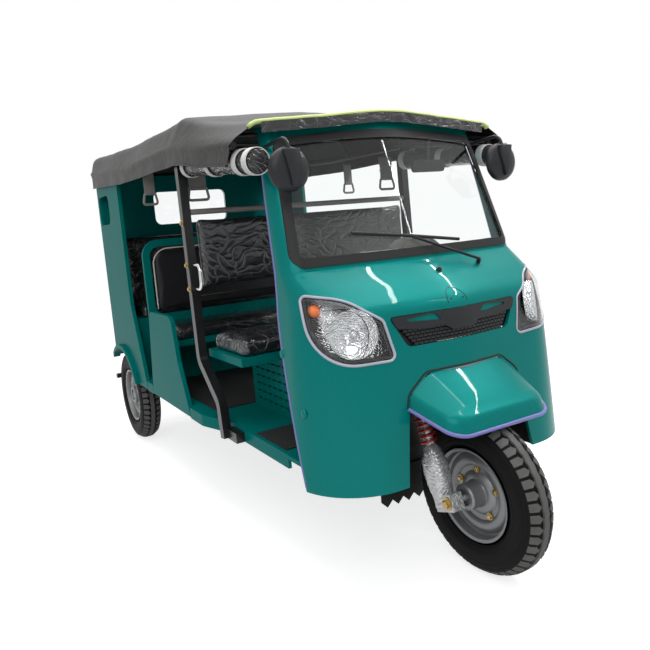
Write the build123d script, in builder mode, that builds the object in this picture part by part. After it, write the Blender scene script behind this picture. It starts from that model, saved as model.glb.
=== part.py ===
from build123d import *
import os
from math import cos, radians, sin

os.makedirs("parts", exist_ok=True)

# Passenger tricycle in millimetres: X across, left side positive, Y to the rear, Z up from the ground.

# Fits
FIT = 0.3  # gap between pieces that seat on each other
PIN_GAP = 0.5  # radial play of a turning bore on its pin
END_PLAY = 2  # gap between the steering head and the yokes

# Wheels and tyres
TYRE_R = 272
BEAD_X = 42
RIM_R = 151.7
RIM_T = 4
RIM_LIP_T = 4.7
RIM_LIP_R = 164
RIM_LIP_IN = 140
WHEELBASE = 2364
TRACK = 1060
FRONT_Y = -WHEELBASE / 2
REAR_Y = WHEELBASE / 2
FRONT_HUB_R = 44
FRONT_HUB_X = 78
FRONT_AXLE_R = 10
REAR_HUB_R = 52
REAR_HUB_OUT = 45
DRUM_R = 105
DRUM_IN = 50
SPINDLE_R = 18
SPINDLE_END = 40
TYRE_PROFILE = [(42, 152), (42, 166), (59, 200), (52, 250), (24, 272)]
DISC_T = 5
DISC_OUT = 8

# Steering and fork
RAKE = 18
AXLE_LEAD = 60
STEER_Y = FRONT_Y + AXLE_LEAD
LEG_X = 125
LEG_BACK = -15
LEG_TUBE_R = 19
SLIDER_R = 27
SLIDER_TOP = 165
LEG_BOTTOM = -45
YOKE_Z = 318
YOKE_T = 26
YOKE_DEPTH = 84
STEM_R = 16
HEAD_R = 30
HEAD_LENGTH = 230
SPRING_R = 31
SPRING_COILS = 8
SPRING_CORE = 24
NUT_H = 20
BAR_R = 11
BAR_Z = 755
BAR_BEND = 40
BAR_CLAMP_X = 30
BAR_CLAMP_Y = 19
BAR_CLAMP_L = 82
BAR_CLAMP_H = 40
GRIP_R = 16
GRIP_L = 120
HANDLEBAR = [
    (-320, 140, 745),
    (-190, 110, 755),
    (-85, 45, 755),
    (85, 45, 755),
    (190, 110, 755),
    (320, 140, 745),
]
AXLE_END_X = 150
CLAMP_T = 50
CLAMP_L = 84
CLAMP_H = 56

# Cowl
WALL = 12
COWL_BOTTOM = 360
SCREEN_BASE = 1065
COWL_TOP = 1590
COWL_BACK = FRONT_Y + 622
NOSE_R = 600
REAR_EDGE_Y = FRONT_Y + 460
REAR_EDGE_Z = 1450
REAR_EDGE_LEAN = 13
ROOF_EDGE_Z = 1532
ROOF_CROWN_Z = 1575
HEADER_T = 14
HEADER_W = 30

# Windscreen outline, seen from the front
SCREEN_BOTTOM_Z = 1075
SCREEN_BOTTOM_X = 496
SCREEN_TOP_Z = 1516
SCREEN_TOP_X = 450
SCREEN_TOP_RISE = 26
SCREEN_CORNER_R = 45
SEAL_W = 30
SEAL_PROUD = 5
GLASS_IN = 3
GLASS_T = 5

# Front wheel opening and mudguard
OPENING_X = 284
SEAM_X = 246
SEAM_Z = 606
SHOULDER_X = 236
SHOULDER_Z = 650
PLATEAU_X = 160
PLATEAU_Z = 706
GUARD_Y = FRONT_Y + 52
GUARD_WALL = 4
GUARD_BACK = 70
HOUSING_X = 292
HOUSING_T = 4
HOUSING_TOP = 694
HOUSING_REAR = FRONT_Y + 306
HOUSING_R = 170
HEAD_HOLE_R = 46

# Headlamp plane, for the right lamp
LAMP_X = -385
LAMP_Y = FRONT_Y + 140
LAMP_Z = 875
LAMP_NORMAL = (-0.6, -0.8, 0.1)
LAMP_INWARD = (0.8, -0.6, 0)
LAMP_DEPTH = 44
LAMP_REACH = 140
LAMP_WALL = 6
LENS_T = 5

# Leaf outline of the right headlamp from its outer tip: across, up, corner radius
LAMP_CORNERS = [
    (-150, 116, 14),
    (-112, -112, 160),
    (137, -104, 16),
    (104, 20, 26),
    (-10, 92, 250),
]

# Grille
GRILLE_TOP_X = 277
GRILLE_TOP_Z = 902
GRILLE_LOW_X = 222
GRILLE_LOW_Z = 800
GRILLE_R = 34
GRILLE_SUNK = 8
GRILLE_PROUD = 4
CELL_R = 9
CELL_GAP = 3
CELL_COLUMNS = 24
CELL_ROWS = 3
CELL_Z = 828
SLOT_IN = 92
SLOT_OUT = 222
SLOT_TOP = 893
SLOT_LOW = 869
SLOT_TIP = 882
SLOT_R = 4

# Floor and frame
FLOOR_Z = 445
FLOOR_T = 15
SILL_Z = 395
SILL_T = 12
SILL_X = 545
STEP_X = 600
STEP_FRONT = -340
STEP_OUT = -150
STEP_R = 60
WELL_X = 452
RAIL_X = 280
RAIL_W = 60
RAIL_H = 80
RAIL_FRONT = FRONT_Y + 342
RAIL_REAR = REAR_Y + 238
DOWN_TUBE_R = 26
MEMBER_W = 40
MEMBERS_HIGH = (RAIL_FRONT + 20, 420, 860, RAIL_REAR - 80)
MEMBERS_LOW = (-460, -260)
HEAD_Z = YOKE_Z + YOKE_T + END_PLAY
TOW_HOLE_R = 6.5
TOW_SPACING = 160
SPINE_Y = FRONT_Y + 340
SPINE_KNEE_Z = 660
SPINE_HEAD_Y = FRONT_Y + 214
SPINE_HEAD_Z = 735
SPINE_BEND = 60
MAT_T = 4
MAT_X = 530
MATS = ((FRONT_Y + 382, FRONT_Y + 622), (-150, 590), (625, REAR_Y - 312))

# Body sides
SIDE_X = 600
SIDE_T = 20
SIDE_BOTTOM = 400
B_FOOT = 0
B_KINK_Y = 112
B_KINK_Z = 640
B_FRONT = 150
B_TOP = 850
B_REAR_TOP = 510
B_REAR = 595
B_R = 60
QUARTER_FRONT = REAR_Y - 312
QUARTER_FOOT = REAR_Y - 482
QUARTER_WAIST = 860
QUARTER_REAR = REAR_Y + 204
ARCH_R = 300
ARCH_LIP = 24
ARCH_LIP_T = 22
VENT_Y = REAR_Y + 53
VENT_Z = 1415
VENT_L = 250
VENT_H = 170
VENT_R = 40
WALL_REAR = QUARTER_REAR
WALL_T = 20
WALL_TOP = 1625
WINDOW_W = 500
WINDOW_LOW = 1312
WINDOW_HIGH = 1522
WINDOW_R = 40
WINDOW_T = 6
RIB_W = 30
RIB_DEPTH = 7
RIB_PITCH = 90
RIB_COUNT = 11
RIB_LOW = 560
RIB_HIGH = 1250
ARCH_CUT_X = 448
ARCH_CUT_Z = 515

# Posts and driver's place
POST_X = 580
POST_W = 36
POST_Y = -155
POST_BEND = 60
POST_FOOT_Y = -372
POST_KNEE_Y = -357
POST_KNEE_Z = 538
POST_HIP_Y = -182
POST_HIP_Z = 690
BRACKET_FRONT = -476
BRACKET_H = 40
BACK_Y = -168
GRAB_R = 8
GRAB_LOW = 995
GRAB_HIGH = 1095
GRAB_OUT = 80
GRAB_BEND = 30
BACK_LOW = 975
BACK_HIGH = 1300
BACK_T = 34
BACK_R = 30
CROSS_Z = 950
CROSS_H = 24
BENCH_X = 545
BENCH_FRONT = -520
BENCH_REAR = -176
BENCH_TOP = 800
BENCH_CUSHION = 68
TRAY_T = 32
SEAT_BOX_X = 350
SEAT_BOX_FRONT = -540
SEAT_BOX_T = 8
LOUVRE_L = 36
LOUVRE_H = 7
LOUVRE_COLUMNS = 6
LOUVRE_ROWS = 6
LOUVRE_PITCH_Y = 50
LOUVRE_PITCH_Z = 34

# Passenger benches
MID_FRONT = 305
MID_REAR = 640
MID_X = 550
MID_TOP = 770
MID_CUSHION = 66
MID_TRAY = 28
MID_RISER_Y = 606
MID_RISER_T = 12
CUSHION_R = 30
CUSHION_EDGE = 20
FRAME_Y = 656
FRAME_W = 38
FRAME_T = 26
FRAME_X = 560
FRAME_LOW = 810
FRAME_HIGH = 1215
FRAME_R = 90
PAD_T = 40
REAR_FRONT = REAR_Y - 302
REAR_X = 550
REAR_TOP = 845
REAR_CUSHION = 72
REAR_BOX_T = 12
REAR_BACK_HIGH = 1260
REAR_BACK_FOOT = REAR_Y + 44
REAR_BACK_HEAD = REAR_Y + 74

# Roof
RAIL_R = 12
ROOF_RAIL_X = 588
RAIL_YS = (FRONT_Y + 447, FRONT_Y + 722, POST_Y, 550, REAR_Y + 190)
RAIL_DROP = 16
BOW_YS = (-145, 330, 870, REAR_Y + 178)
BOW_BEND = 40
STUB_Y = FRONT_Y + 467
STUB_X = 485
RAIL_BEND = 200
HEM_X = 620
FOLD_X = 612
BOW_SLACK = 0.8
STUB_R = 9
RING_SHARES = (0.03, 0.16, 0.55, 0.95)
STRAP_SHARES = (0.55, 0.95)
STRAP_LAP = 31
CANOPY_T = 6
CANOPY_REAR = REAR_Y + 243
ROLL_R = 42
ROLL_X = 556
ROLL_FRONT_Y = FRONT_Y + 337
ROLL_FRONT_Z = 1432
ROLL_REAR_Y = -200
ROLL_REAR_Z = 1496
BAND_W = 34
BAND_T = 3

# Mirrors
MIRROR_X = 474
MIRROR_Y = FRONT_Y + 277
MIRROR_Z = 1397
MIRROR_R = 73
MIRROR_T = 34
ARM_R = 7
ARM_TOP = 1502
ARM_ROOT_X = 477.4
ARM_ROOT_Y = FRONT_Y + 442
ARM_ROOT_Z = 1490
ARM_BEND = 25

# Dashboard and wiper
DASH_Z = 1046
DASH_T = 14
DASH_REAR = FRONT_Y + 382
HOOD_X = 50
HOOD_W = 230
HOOD_TOP = 1139
HOOD_L = 95
WIPER_BLADE = [(-253, FRONT_Y + 284.3, 1175), (-25, FRONT_Y + 253.3, 1147), (208, FRONT_Y + 259.3, 1116)]
BLADE_BEND = 300
BLADE_R = 6
WIPER_PIVOT = (229, FRONT_Y + 179, 1040)
WIPER_NORMAL = (0, 0.57, -0.82)
WIPER_ARM_R = 5
PIVOT_R = 8
PIVOT_L = 18

# Running gear below the floor
AXLE_TUBE_R = 34
AXLE_FLANGE_GAP = 6
DIFF_R = 105
DIFF_W = 150
SPRING_X = 340
SPRING_W = 56
SPRING_LEAF = 9
LEAF_BEND_R = 700
LEAF_LENGTHS = (220, 340, 460)
HANGER_L = 36
HANGER_H = 44
ENGINE_W = 320
ENGINE_L = 250
ENGINE_H = 240
ENGINE_Y = -360
SHAFT_R = 22
SHAFT_Z = 400
SHAFT_GAP = 3
PINION_R = 40
PINION_L = 150
FLANGE_R = 100
FLANGE_T = 12
MUFFLER_R = 55
MUFFLER_L = 380
MUFFLER_X = -180
MUFFLER_Y = 670
MUFFLER_Z = 320
PIPE_R = 18
PIPE_X = -110
PIPE_Z = 408
PIPE_RUN = 110
PIPE_BEND = 80
TAIL_PIPE_L = 100
HANGER_T = 20
BUMPER_R = 16
BUMPER_Z = 350
BUMPER_X = 600
BUMPER_Y = REAR_Y + TYRE_R + BUMPER_R
TAIL_LAMP_W = 70
TAIL_LAMP_H = 190
TAIL_LAMP_Z = 640
TAIL_LAMP_T = 26
TAIL_LAMP_X = 515
STAY_W = 50
STAY_H = 36
TAIL_LAMP_R = 12
FLAP_X = 200
FLAP_T = 6
FLAP_TOP = 420
FLAP_LOW = 225
FLAP_TOOTH = 25
FLAP_TEETH = 8

SIDES = (-1, 1)

# Steering frame: its Z runs up the raked steering axis, from axle height
rake_dir = (0, sin(radians(RAKE)), cos(radians(RAKE)))
steer = Plane(origin=(0, STEER_Y, TYRE_R), x_dir=(1, 0, 0), z_dir=rake_dir)
AXLE_FORE = -AXLE_LEAD * cos(radians(RAKE))
AXLE_DROP = -AXLE_LEAD * sin(radians(RAKE))

# Cowl outlines from the bottom up: height, half width, corner and nose behind the front axle, corner radius
COWL_LOWER = [
    (COWL_BOTTOM, 562, 22, 16, 245),
    (800, 546, 90, 36, 190),
    (920, 536, 106, 54, 170),
    (985, 526, 170, 116, 130),
    (SCREEN_BASE, 516, 276, 232, 75),
]
COWL_UPPER = [
    (SCREEN_BASE, 516, 276, 232, 75),
    (COWL_TOP, 481, 460, 396, 75),
]


def cowl_outline(row, inset):
    """Plan outline of the cowl at one height, moved inwards by inset."""
    height, half, corner_back, nose_back, corner_r = row
    x = half - inset
    corner_y = FRONT_Y + corner_back + inset
    with BuildSketch(Plane.XY.offset(height)) as outline:
        with BuildLine():
            front = FilletPolyline(
                (-x, COWL_BACK),
                (-x, corner_y),
                (0, FRONT_Y + nose_back + inset),
                (x, corner_y),
                (x, COWL_BACK),
                radius=[corner_r - inset, NOSE_R, corner_r - inset],
            )
            Line(front @ 1, front @ 0)
        make_face()
    return outline.sketch


def cowl_solid(rows, inset):
    """Volume inside the cowl's outer face between two heights, moved inwards by inset."""
    with BuildPart() as solid:
        loft(sections=[cowl_outline(row, inset) for row in rows], ruled=True)
    return solid.part


def screen_outline(inset):
    """Windscreen outline on the XZ plane, moved inwards by inset."""
    with BuildSketch(Plane.XZ) as outline:
        with BuildLine():
            base = Polyline(
                (-SCREEN_TOP_X, SCREEN_TOP_Z),
                (-SCREEN_BOTTOM_X, SCREEN_BOTTOM_Z),
                (SCREEN_BOTTOM_X, SCREEN_BOTTOM_Z),
                (SCREEN_TOP_X, SCREEN_TOP_Z),
            )
            ThreePointArc(base @ 1, (0, SCREEN_TOP_Z + SCREEN_TOP_RISE), base @ 0)
        make_face()
        fillet(outline.vertices(), SCREEN_CORNER_R)
        if inset:
            offset(amount=-inset, mode=Mode.REPLACE)
    return outline.sketch


def grille_outline(inset):
    """Outline of the grille on the XZ plane, moved inwards by inset."""
    with BuildSketch(Plane.XZ) as outline:
        with BuildLine():
            Polyline(
                (-GRILLE_TOP_X, GRILLE_TOP_Z),
                (-GRILLE_LOW_X, GRILLE_LOW_Z),
                (GRILLE_LOW_X, GRILLE_LOW_Z),
                (GRILLE_TOP_X, GRILLE_TOP_Z),
                close=True,
            )
        make_face()
        fillet(outline.vertices().group_by(Axis.Y)[0], GRILLE_R)
        if inset:
            offset(amount=-inset, mode=Mode.REPLACE)
    return outline.sketch


def lamp_outline(inset):
    """Leaf outline of the right headlamp on its own plane, moved inwards by inset."""
    lamp_plane = Plane(origin=(LAMP_X, LAMP_Y, LAMP_Z), x_dir=LAMP_INWARD, z_dir=LAMP_NORMAL)
    with BuildSketch(lamp_plane.offset(-LAMP_REACH)) as outline:
        with BuildLine():
            FilletPolyline(
                *[corner[:2] for corner in LAMP_CORNERS],
                radius=[corner[2] for corner in LAMP_CORNERS],
                close=True,
            )
        make_face()
        if inset:
            offset(amount=-inset, mode=Mode.REPLACE)
    return outline.sketch


# Cowl volumes that several pieces share
lower_outer = cowl_solid(COWL_LOWER, 0)
lower_clear = cowl_solid(COWL_LOWER, WALL + FIT)
lower_proud = cowl_solid(COWL_LOWER, -WALL)

# Volume above the roof arch line, to cut with
with BuildPart() as roof_arch:
    with BuildSketch(Plane.XZ):
        with BuildLine():
            arch = ThreePointArc((-SIDE_X, ROOF_EDGE_Z), (0, ROOF_CROWN_Z), (SIDE_X, ROOF_EDGE_Z))
            Polyline(arch @ 1, (SIDE_X, 2 * COWL_TOP), (-SIDE_X, 2 * COWL_TOP), arch @ 0)
        make_face()
    extrude(amount=WHEELBASE)

with BuildPart() as grille_pocket:
    add(lower_proud)
    add(cowl_solid(COWL_LOWER, GRILLE_SUNK), mode=Mode.SUBTRACT)
    extrude(grille_outline(0), amount=WHEELBASE, mode=Mode.INTERSECT)

with BuildPart() as grille_cells:
    with BuildSketch(Plane.XZ):
        with Locations((0, CELL_Z)):
            with HexLocations(CELL_R + CELL_GAP, CELL_COLUMNS, CELL_ROWS):
                RegularPolygon(CELL_R, 6)
    extrude(amount=WHEELBASE)
    extrude(grille_outline(CELL_R), amount=WHEELBASE, mode=Mode.INTERSECT)

with BuildPart() as lamp_recess:
    extrude(lamp_outline(LAMP_WALL), amount=2 * LAMP_REACH)
    add(lower_proud, mode=Mode.INTERSECT)
    add(cowl_solid(COWL_LOWER, LAMP_DEPTH - LAMP_WALL), mode=Mode.SUBTRACT)

with BuildPart() as lamp_holes:
    extrude(lamp_outline(0), amount=2 * LAMP_REACH)
    mirror(about=Plane.YZ)

rear_plane = Plane(
    origin=(0, REAR_EDGE_Y, REAR_EDGE_Z),
    z_dir=(0, cos(radians(REAR_EDGE_LEAN)), -sin(radians(REAR_EDGE_LEAN))),
)

with BuildPart() as front_cowl:
    add(lower_outer)
    add(cowl_solid(COWL_LOWER, WALL), mode=Mode.SUBTRACT)
    with BuildSketch(Plane.XZ):
        with BuildLine():
            Polyline(
                (-OPENING_X, 0),
                (-OPENING_X, COWL_BOTTOM),
                (-SEAM_X, SEAM_Z),
                (-SHOULDER_X, SHOULDER_Z),
                (-PLATEAU_X, PLATEAU_Z),
                (PLATEAU_X, PLATEAU_Z),
                (SHOULDER_X, SHOULDER_Z),
                (SEAM_X, SEAM_Z),
                (OPENING_X, COWL_BOTTOM),
                (OPENING_X, 0),
                close=True,
            )
        make_face()
    extrude(amount=WHEELBASE, mode=Mode.SUBTRACT)
    add(grille_pocket.part, mode=Mode.SUBTRACT)
    add(lamp_holes.part, mode=Mode.SUBTRACT)
    add(cowl_solid(COWL_UPPER, 0))
    add(cowl_solid(COWL_UPPER, WALL), mode=Mode.SUBTRACT)
    add(roof_arch.part, mode=Mode.SUBTRACT)
    extrude(screen_outline(0), amount=WHEELBASE, mode=Mode.SUBTRACT)
    split(bisect_by=rear_plane, keep=Keep.BOTTOM)
front_cowl.part.label = "front_cowl"
export_step(front_cowl.part, "parts/front_cowl.step")

with BuildPart() as roof_header:
    add(cowl_solid(COWL_UPPER, -HEADER_T))
    add(cowl_solid(COWL_UPPER, HEADER_W - HEADER_T), mode=Mode.SUBTRACT)
    split(bisect_by=rear_plane, keep=Keep.BOTTOM)
    add(roof_arch.part, mode=Mode.INTERSECT)
    add(Pos(0, 0, HEADER_T) * roof_arch.part, mode=Mode.SUBTRACT)
roof_header.part.label = "roof_header"
export_step(roof_header.part, "parts/roof_header.step")

with BuildPart() as windscreen_seal:
    add(cowl_solid(COWL_UPPER, -SEAL_PROUD))
    add(cowl_solid(COWL_UPPER, WALL), mode=Mode.SUBTRACT)
    extrude(screen_outline(FIT), amount=WHEELBASE, mode=Mode.INTERSECT)
    extrude(screen_outline(SEAL_W), amount=WHEELBASE, mode=Mode.SUBTRACT)
windscreen_seal.part.label = "windscreen_seal"
export_step(windscreen_seal.part, "parts/windscreen_seal.step")

with BuildPart() as windscreen_glass:
    add(cowl_solid(COWL_UPPER, GLASS_IN))
    add(cowl_solid(COWL_UPPER, GLASS_IN + GLASS_T), mode=Mode.SUBTRACT)
    extrude(screen_outline(SEAL_W + FIT), amount=WHEELBASE, mode=Mode.INTERSECT)
windscreen_glass.part.label = "windscreen_glass"
export_step(windscreen_glass.part, "parts/windscreen_glass.step")

with BuildPart() as front_grille:
    add(cowl_solid(COWL_LOWER, -GRILLE_PROUD))
    add(cowl_solid(COWL_LOWER, GRILLE_SUNK - FIT), mode=Mode.SUBTRACT)
    extrude(grille_outline(FIT), amount=WHEELBASE, mode=Mode.INTERSECT)
    add(grille_cells.part, mode=Mode.SUBTRACT)
    with BuildSketch(Plane.XZ):
        with BuildLine():
            FilletPolyline(
                (SLOT_IN, SLOT_LOW),
                (SLOT_OUT, SLOT_TIP),
                (SLOT_OUT, SLOT_TOP),
                (SLOT_IN, SLOT_TOP),
                radius=SLOT_R,
                close=True,
            )
        make_face()
        mirror(about=Plane.YZ)
    extrude(amount=WHEELBASE, mode=Mode.SUBTRACT)
front_grille.part.label = "front_grille"
export_step(front_grille.part, "parts/front_grille.step")

with BuildPart() as headlamp_housings:
    extrude(lamp_outline(FIT), amount=2 * LAMP_REACH)
    add(lower_outer, mode=Mode.INTERSECT)
    add(cowl_solid(COWL_LOWER, LAMP_DEPTH), mode=Mode.SUBTRACT)
    add(lamp_recess.part, mode=Mode.SUBTRACT)
    mirror(about=Plane.YZ)
headlamp_housings.part.label = "headlamp_housings"
export_step(headlamp_housings.part, "parts/headlamp_housings.step")

with BuildPart() as headlamp_lenses:
    extrude(lamp_outline(LAMP_WALL + FIT), amount=2 * LAMP_REACH)
    add(lower_outer, mode=Mode.INTERSECT)
    add(cowl_solid(COWL_LOWER, LENS_T), mode=Mode.SUBTRACT)
    mirror(about=Plane.YZ)
headlamp_lenses.part.label = "headlamp_lenses"
export_step(headlamp_lenses.part, "parts/headlamp_lenses.step")

# Mudguard outlines from the lip up: height, slope, rear and front half width, reach, corner radius
GUARD_ROWS = [
    (SEAM_Z, 21, 252, 205, 196, 75),
    (SEAM_Z + 46, 21, 241, 190, 184, 66),
    (712, 36, 166, 114, 190, 26),
]


def guard_outline(row, inset, drop):
    """One slanted outline of the mudguard, moved inwards by inset and down by drop."""
    height, slope, rear_half, front_half, reach, corner_r = row
    down = (0, sin(radians(slope)), -cos(radians(slope)))
    plane = Plane(origin=(0, GUARD_Y, height - drop), x_dir=(1, 0, 0), z_dir=down)
    back_half = rear_half + (rear_half - front_half) * GUARD_BACK / reach - inset
    tip_half = front_half - inset
    with BuildSketch(plane) as outline:
        with BuildLine():
            front = FilletPolyline(
                (-back_half, -GUARD_BACK),
                (-tip_half, reach - inset),
                (tip_half, reach - inset),
                (back_half, -GUARD_BACK),
                radius=corner_r - inset,
            )
            Line(front @ 1, front @ 0)
        make_face()
    return outline.sketch


with BuildPart() as front_mudguard:
    loft(sections=[guard_outline(row, 0, 0) for row in GUARD_ROWS], ruled=True)
    loft(
        sections=[guard_outline(row, GUARD_WALL, GUARD_WALL) for row in GUARD_ROWS],
        ruled=True,
        mode=Mode.SUBTRACT,
    )
    add(cowl_solid(COWL_LOWER, -FIT), mode=Mode.SUBTRACT)
front_mudguard.part.label = "front_mudguard"
export_step(front_mudguard.part, "parts/front_mudguard.step")

with BuildPart() as wheel_housing:
    with BuildSketch(Plane.YZ.offset(-HOUSING_X)):
        with Locations(((FRONT_Y + HOUSING_REAR) / 2, (COWL_BOTTOM + HOUSING_TOP) / 2)):
            outer = Rectangle(HOUSING_REAR - FRONT_Y, HOUSING_TOP - COWL_BOTTOM)
        fillet(outer.vertices().sort_by(Axis.Y)[-2:].sort_by(Axis.X)[-1], HOUSING_R)
    extrude(amount=2 * HOUSING_X)
    with BuildSketch(Plane.YZ.offset(HOUSING_T - HOUSING_X)):
        hollow_y = (FRONT_Y + HOUSING_REAR) / 2 - HOUSING_T
        with Locations((hollow_y, (COWL_BOTTOM + HOUSING_TOP) / 2 - HOUSING_T)):
            inner = Rectangle(HOUSING_REAR - FRONT_Y, HOUSING_TOP - COWL_BOTTOM)
        fillet(inner.vertices().sort_by(Axis.Y)[-2:].sort_by(Axis.X)[-1], HOUSING_R - HOUSING_T)
    extrude(amount=2 * (HOUSING_X - HOUSING_T), mode=Mode.SUBTRACT)
    add(lower_clear, mode=Mode.INTERSECT)
    with BuildSketch(steer):
        Circle(HEAD_HOLE_R)
    extrude(amount=COWL_TOP, mode=Mode.SUBTRACT)
wheel_housing.part.label = "wheel_housing"
export_step(wheel_housing.part, "parts/wheel_housing.step")

with BuildPart() as floor_pan:
    with BuildSketch(Plane.XY.offset(FLOOR_Z - FLOOR_T)):
        with Locations((0, (FRONT_Y + RAIL_FRONT) / 2)):
            Rectangle(2 * SIDE_X, RAIL_FRONT - FRONT_Y)
    extrude(amount=FLOOR_T)
    add(lower_clear, mode=Mode.INTERSECT)
    with BuildSketch(Plane.XY.offset(FLOOR_Z - FLOOR_T)):
        with Locations((0, (FRONT_Y + HOUSING_REAR) / 2)):
            Rectangle(2 * (HOUSING_X + FIT), HOUSING_REAR - FRONT_Y + 2 * FIT)
        with Locations((0, SPINE_Y)):
            Circle(DOWN_TUBE_R + FIT)
    extrude(amount=FLOOR_T, mode=Mode.SUBTRACT)
    with BuildSketch(Plane.XY.offset(FLOOR_Z - FLOOR_T)):
        with BuildLine():
            edge = FilletPolyline(
                (SILL_X, RAIL_FRONT),
                (SILL_X, STEP_FRONT),
                (STEP_X, STEP_OUT),
                (STEP_X, B_FOOT - FIT),
                radius=STEP_R,
            )
            Polyline(
                edge @ 1,
                (SIDE_X - SIDE_T - FIT, B_FOOT - FIT),
                (SIDE_X - SIDE_T - FIT, REAR_FRONT),
                (WELL_X - FIT, REAR_FRONT),
                (WELL_X - FIT, WALL_REAR - WALL_T - FIT),
                (0, WALL_REAR - WALL_T - FIT),
                (0, RAIL_FRONT),
                edge @ 0,
            )
        make_face()
        mirror(about=Plane.YZ)
        with Locations((0, ENGINE_Y)):
            Rectangle(2 * (RAIL_X - RAIL_W / 2), ENGINE_L + 2 * FLOOR_T, mode=Mode.SUBTRACT)
        with Locations((0, SPINE_Y)):
            Circle(DOWN_TUBE_R + FIT, mode=Mode.SUBTRACT)
    extrude(amount=FLOOR_T)
    with BuildSketch(Plane.XY.offset(SILL_Z)):
        with BuildLine():
            strip = FilletPolyline(
                (SILL_X, RAIL_FRONT),
                (SILL_X, STEP_FRONT),
                (STEP_X, STEP_OUT),
                (STEP_X, B_FOOT - FIT),
                radius=STEP_R,
            )
            Polyline(
                strip @ 1,
                (STEP_X - SILL_T, B_FOOT - FIT),
                (STEP_X - SILL_T, STEP_OUT),
                (SILL_X - SILL_T, STEP_FRONT),
                (SILL_X - SILL_T, RAIL_FRONT),
                strip @ 0,
            )
        make_face()
        mirror(about=Plane.YZ)
    extrude(amount=FLOOR_Z - FLOOR_T - SILL_Z)
    sill_x = SIDE_X - SIDE_T / 2
    sill_y = (B_REAR + QUARTER_FOOT) / 2
    with Locations(*[(side * sill_x, sill_y, (SILL_Z + FLOOR_Z) / 2) for side in SIDES]):
        Box(SIDE_T + 2 * FIT, QUARTER_FOOT - B_REAR - 2 * FIT, FLOOR_Z - SILL_Z)
floor_pan.part.label = "floor_pan"
export_step(floor_pan.part, "parts/floor_pan.step")

rail_top = FLOOR_Z - FLOOR_T - FIT
rail_low = rail_top - RAIL_H
low_member_top = rail_low + MEMBER_W

with BuildPart() as chassis_frame:
    with Locations(*[(side * RAIL_X, (RAIL_FRONT + RAIL_REAR) / 2, rail_top - RAIL_H / 2) for side in SIDES]):
        Box(RAIL_W, RAIL_REAR - RAIL_FRONT, RAIL_H)
    with Locations(*[(0, y, rail_top - MEMBER_W / 2) for y in MEMBERS_HIGH]):
        Box(2 * RAIL_X, MEMBER_W, MEMBER_W)
    with Locations(*[(0, y, low_member_top - MEMBER_W / 2) for y in MEMBERS_LOW]):
        Box(2 * RAIL_X, MEMBER_W, MEMBER_W)
    with BuildSketch(steer.offset(HEAD_Z)):
        Circle(HEAD_R)
    extrude(amount=HEAD_LENGTH)
    with BuildLine() as spine_line:
        FilletPolyline(
            (0, SPINE_HEAD_Y, SPINE_HEAD_Z),
            (0, SPINE_Y, SPINE_KNEE_Z),
            (0, SPINE_Y, low_member_top),
            radius=SPINE_BEND,
        )
    with BuildSketch(spine_line.line ^ 0):
        Circle(DOWN_TUBE_R)
    sweep()
    with BuildSketch(steer.offset(HEAD_Z)):
        Circle(STEM_R + PIN_GAP)
    extrude(amount=HEAD_LENGTH, mode=Mode.SUBTRACT)
    with BuildSketch(Plane.XZ.offset(-MEMBERS_HIGH[-1])):
        with Locations((0, rail_top - MEMBER_W / 2)):
            with GridLocations(TOW_SPACING, 1, 2, 1):
                Circle(TOW_HOLE_R)
    extrude(amount=MEMBER_W, both=True, mode=Mode.SUBTRACT)
chassis_frame.part.label = "chassis_frame"
export_step(chassis_frame.part, "parts/chassis_frame.step")

with BuildPart() as floor_mats:
    for front, rear in MATS:
        with Locations((0, (front + rear) / 2, FLOOR_Z + FIT + MAT_T / 2)):
            Box(2 * MAT_X, rear - front, MAT_T)
floor_mats.part.label = "floor_mats"
export_step(floor_mats.part, "parts/floor_mats.step")

with BuildPart() as side_panels:
    with BuildSketch(Plane.YZ.offset(SIDE_X - SIDE_T)):
        with BuildLine():
            lid = FilletPolyline(
                (B_REAR, SIDE_BOTTOM),
                (B_REAR_TOP, B_TOP),
                (B_FRONT, B_TOP),
                (B_KINK_Y, B_KINK_Z),
                (B_FOOT, SIDE_BOTTOM),
                radius=B_R,
            )
            Line(lid @ 1, lid @ 0)
        make_face()
    extrude(amount=SIDE_T)
    mirror(about=Plane.YZ)
side_panels.part.label = "side_panels"
export_step(side_panels.part, "parts/side_panels.step")

# Canopy sections from front to rear: Y, hem Z, fold Z, corner half width, corner Z, crown Z
CANOPY_ROWS = [
    (FRONT_Y + 367, 1447, 1505, 515, 1560, 1604),
    (FRONT_Y + 722, 1484, 1548, 540, 1622, 1668),
    (POST_Y, 1538, 1584, 550, 1690, 1722),
    (550, 1537, 1600, 560, 1700, 1734),
    (CANOPY_REAR, 1590, 1665, 590, 1738, 1758),
]


def canopy_at(y):
    """Canopy section at one Y, in a straight line between the rows on either side."""
    fore, aft = next(pair for pair in zip(CANOPY_ROWS, CANOPY_ROWS[1:]) if y <= pair[1][0])
    share = (y - fore[0]) / (aft[0] - fore[0])
    return [low + share * (high - low) for low, high in zip(fore, aft)]


def canopy_outline(y, inset):
    """Cross-section of the canopy at one Y, moved inwards by inset and closed at its hem."""
    _, hem, fold, corner_x, corner_z, crown = canopy_at(y)
    with BuildSketch(Plane.XZ.offset(-y)) as outline:
        with BuildLine():
            Polyline(
                (inset - HEM_X, hem),
                (HEM_X - inset, hem),
                (FOLD_X - inset, fold),
                (corner_x - inset, corner_z - inset),
                (0, crown - inset),
                (inset - corner_x, corner_z - inset),
                (inset - FOLD_X, fold),
                close=True,
            )
        make_face()
    return outline.sketch


def rail_z(y):
    """Height of the roof's side rail at one Y, just inside the canopy's fold."""
    return canopy_at(y)[2] - RAIL_DROP


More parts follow.
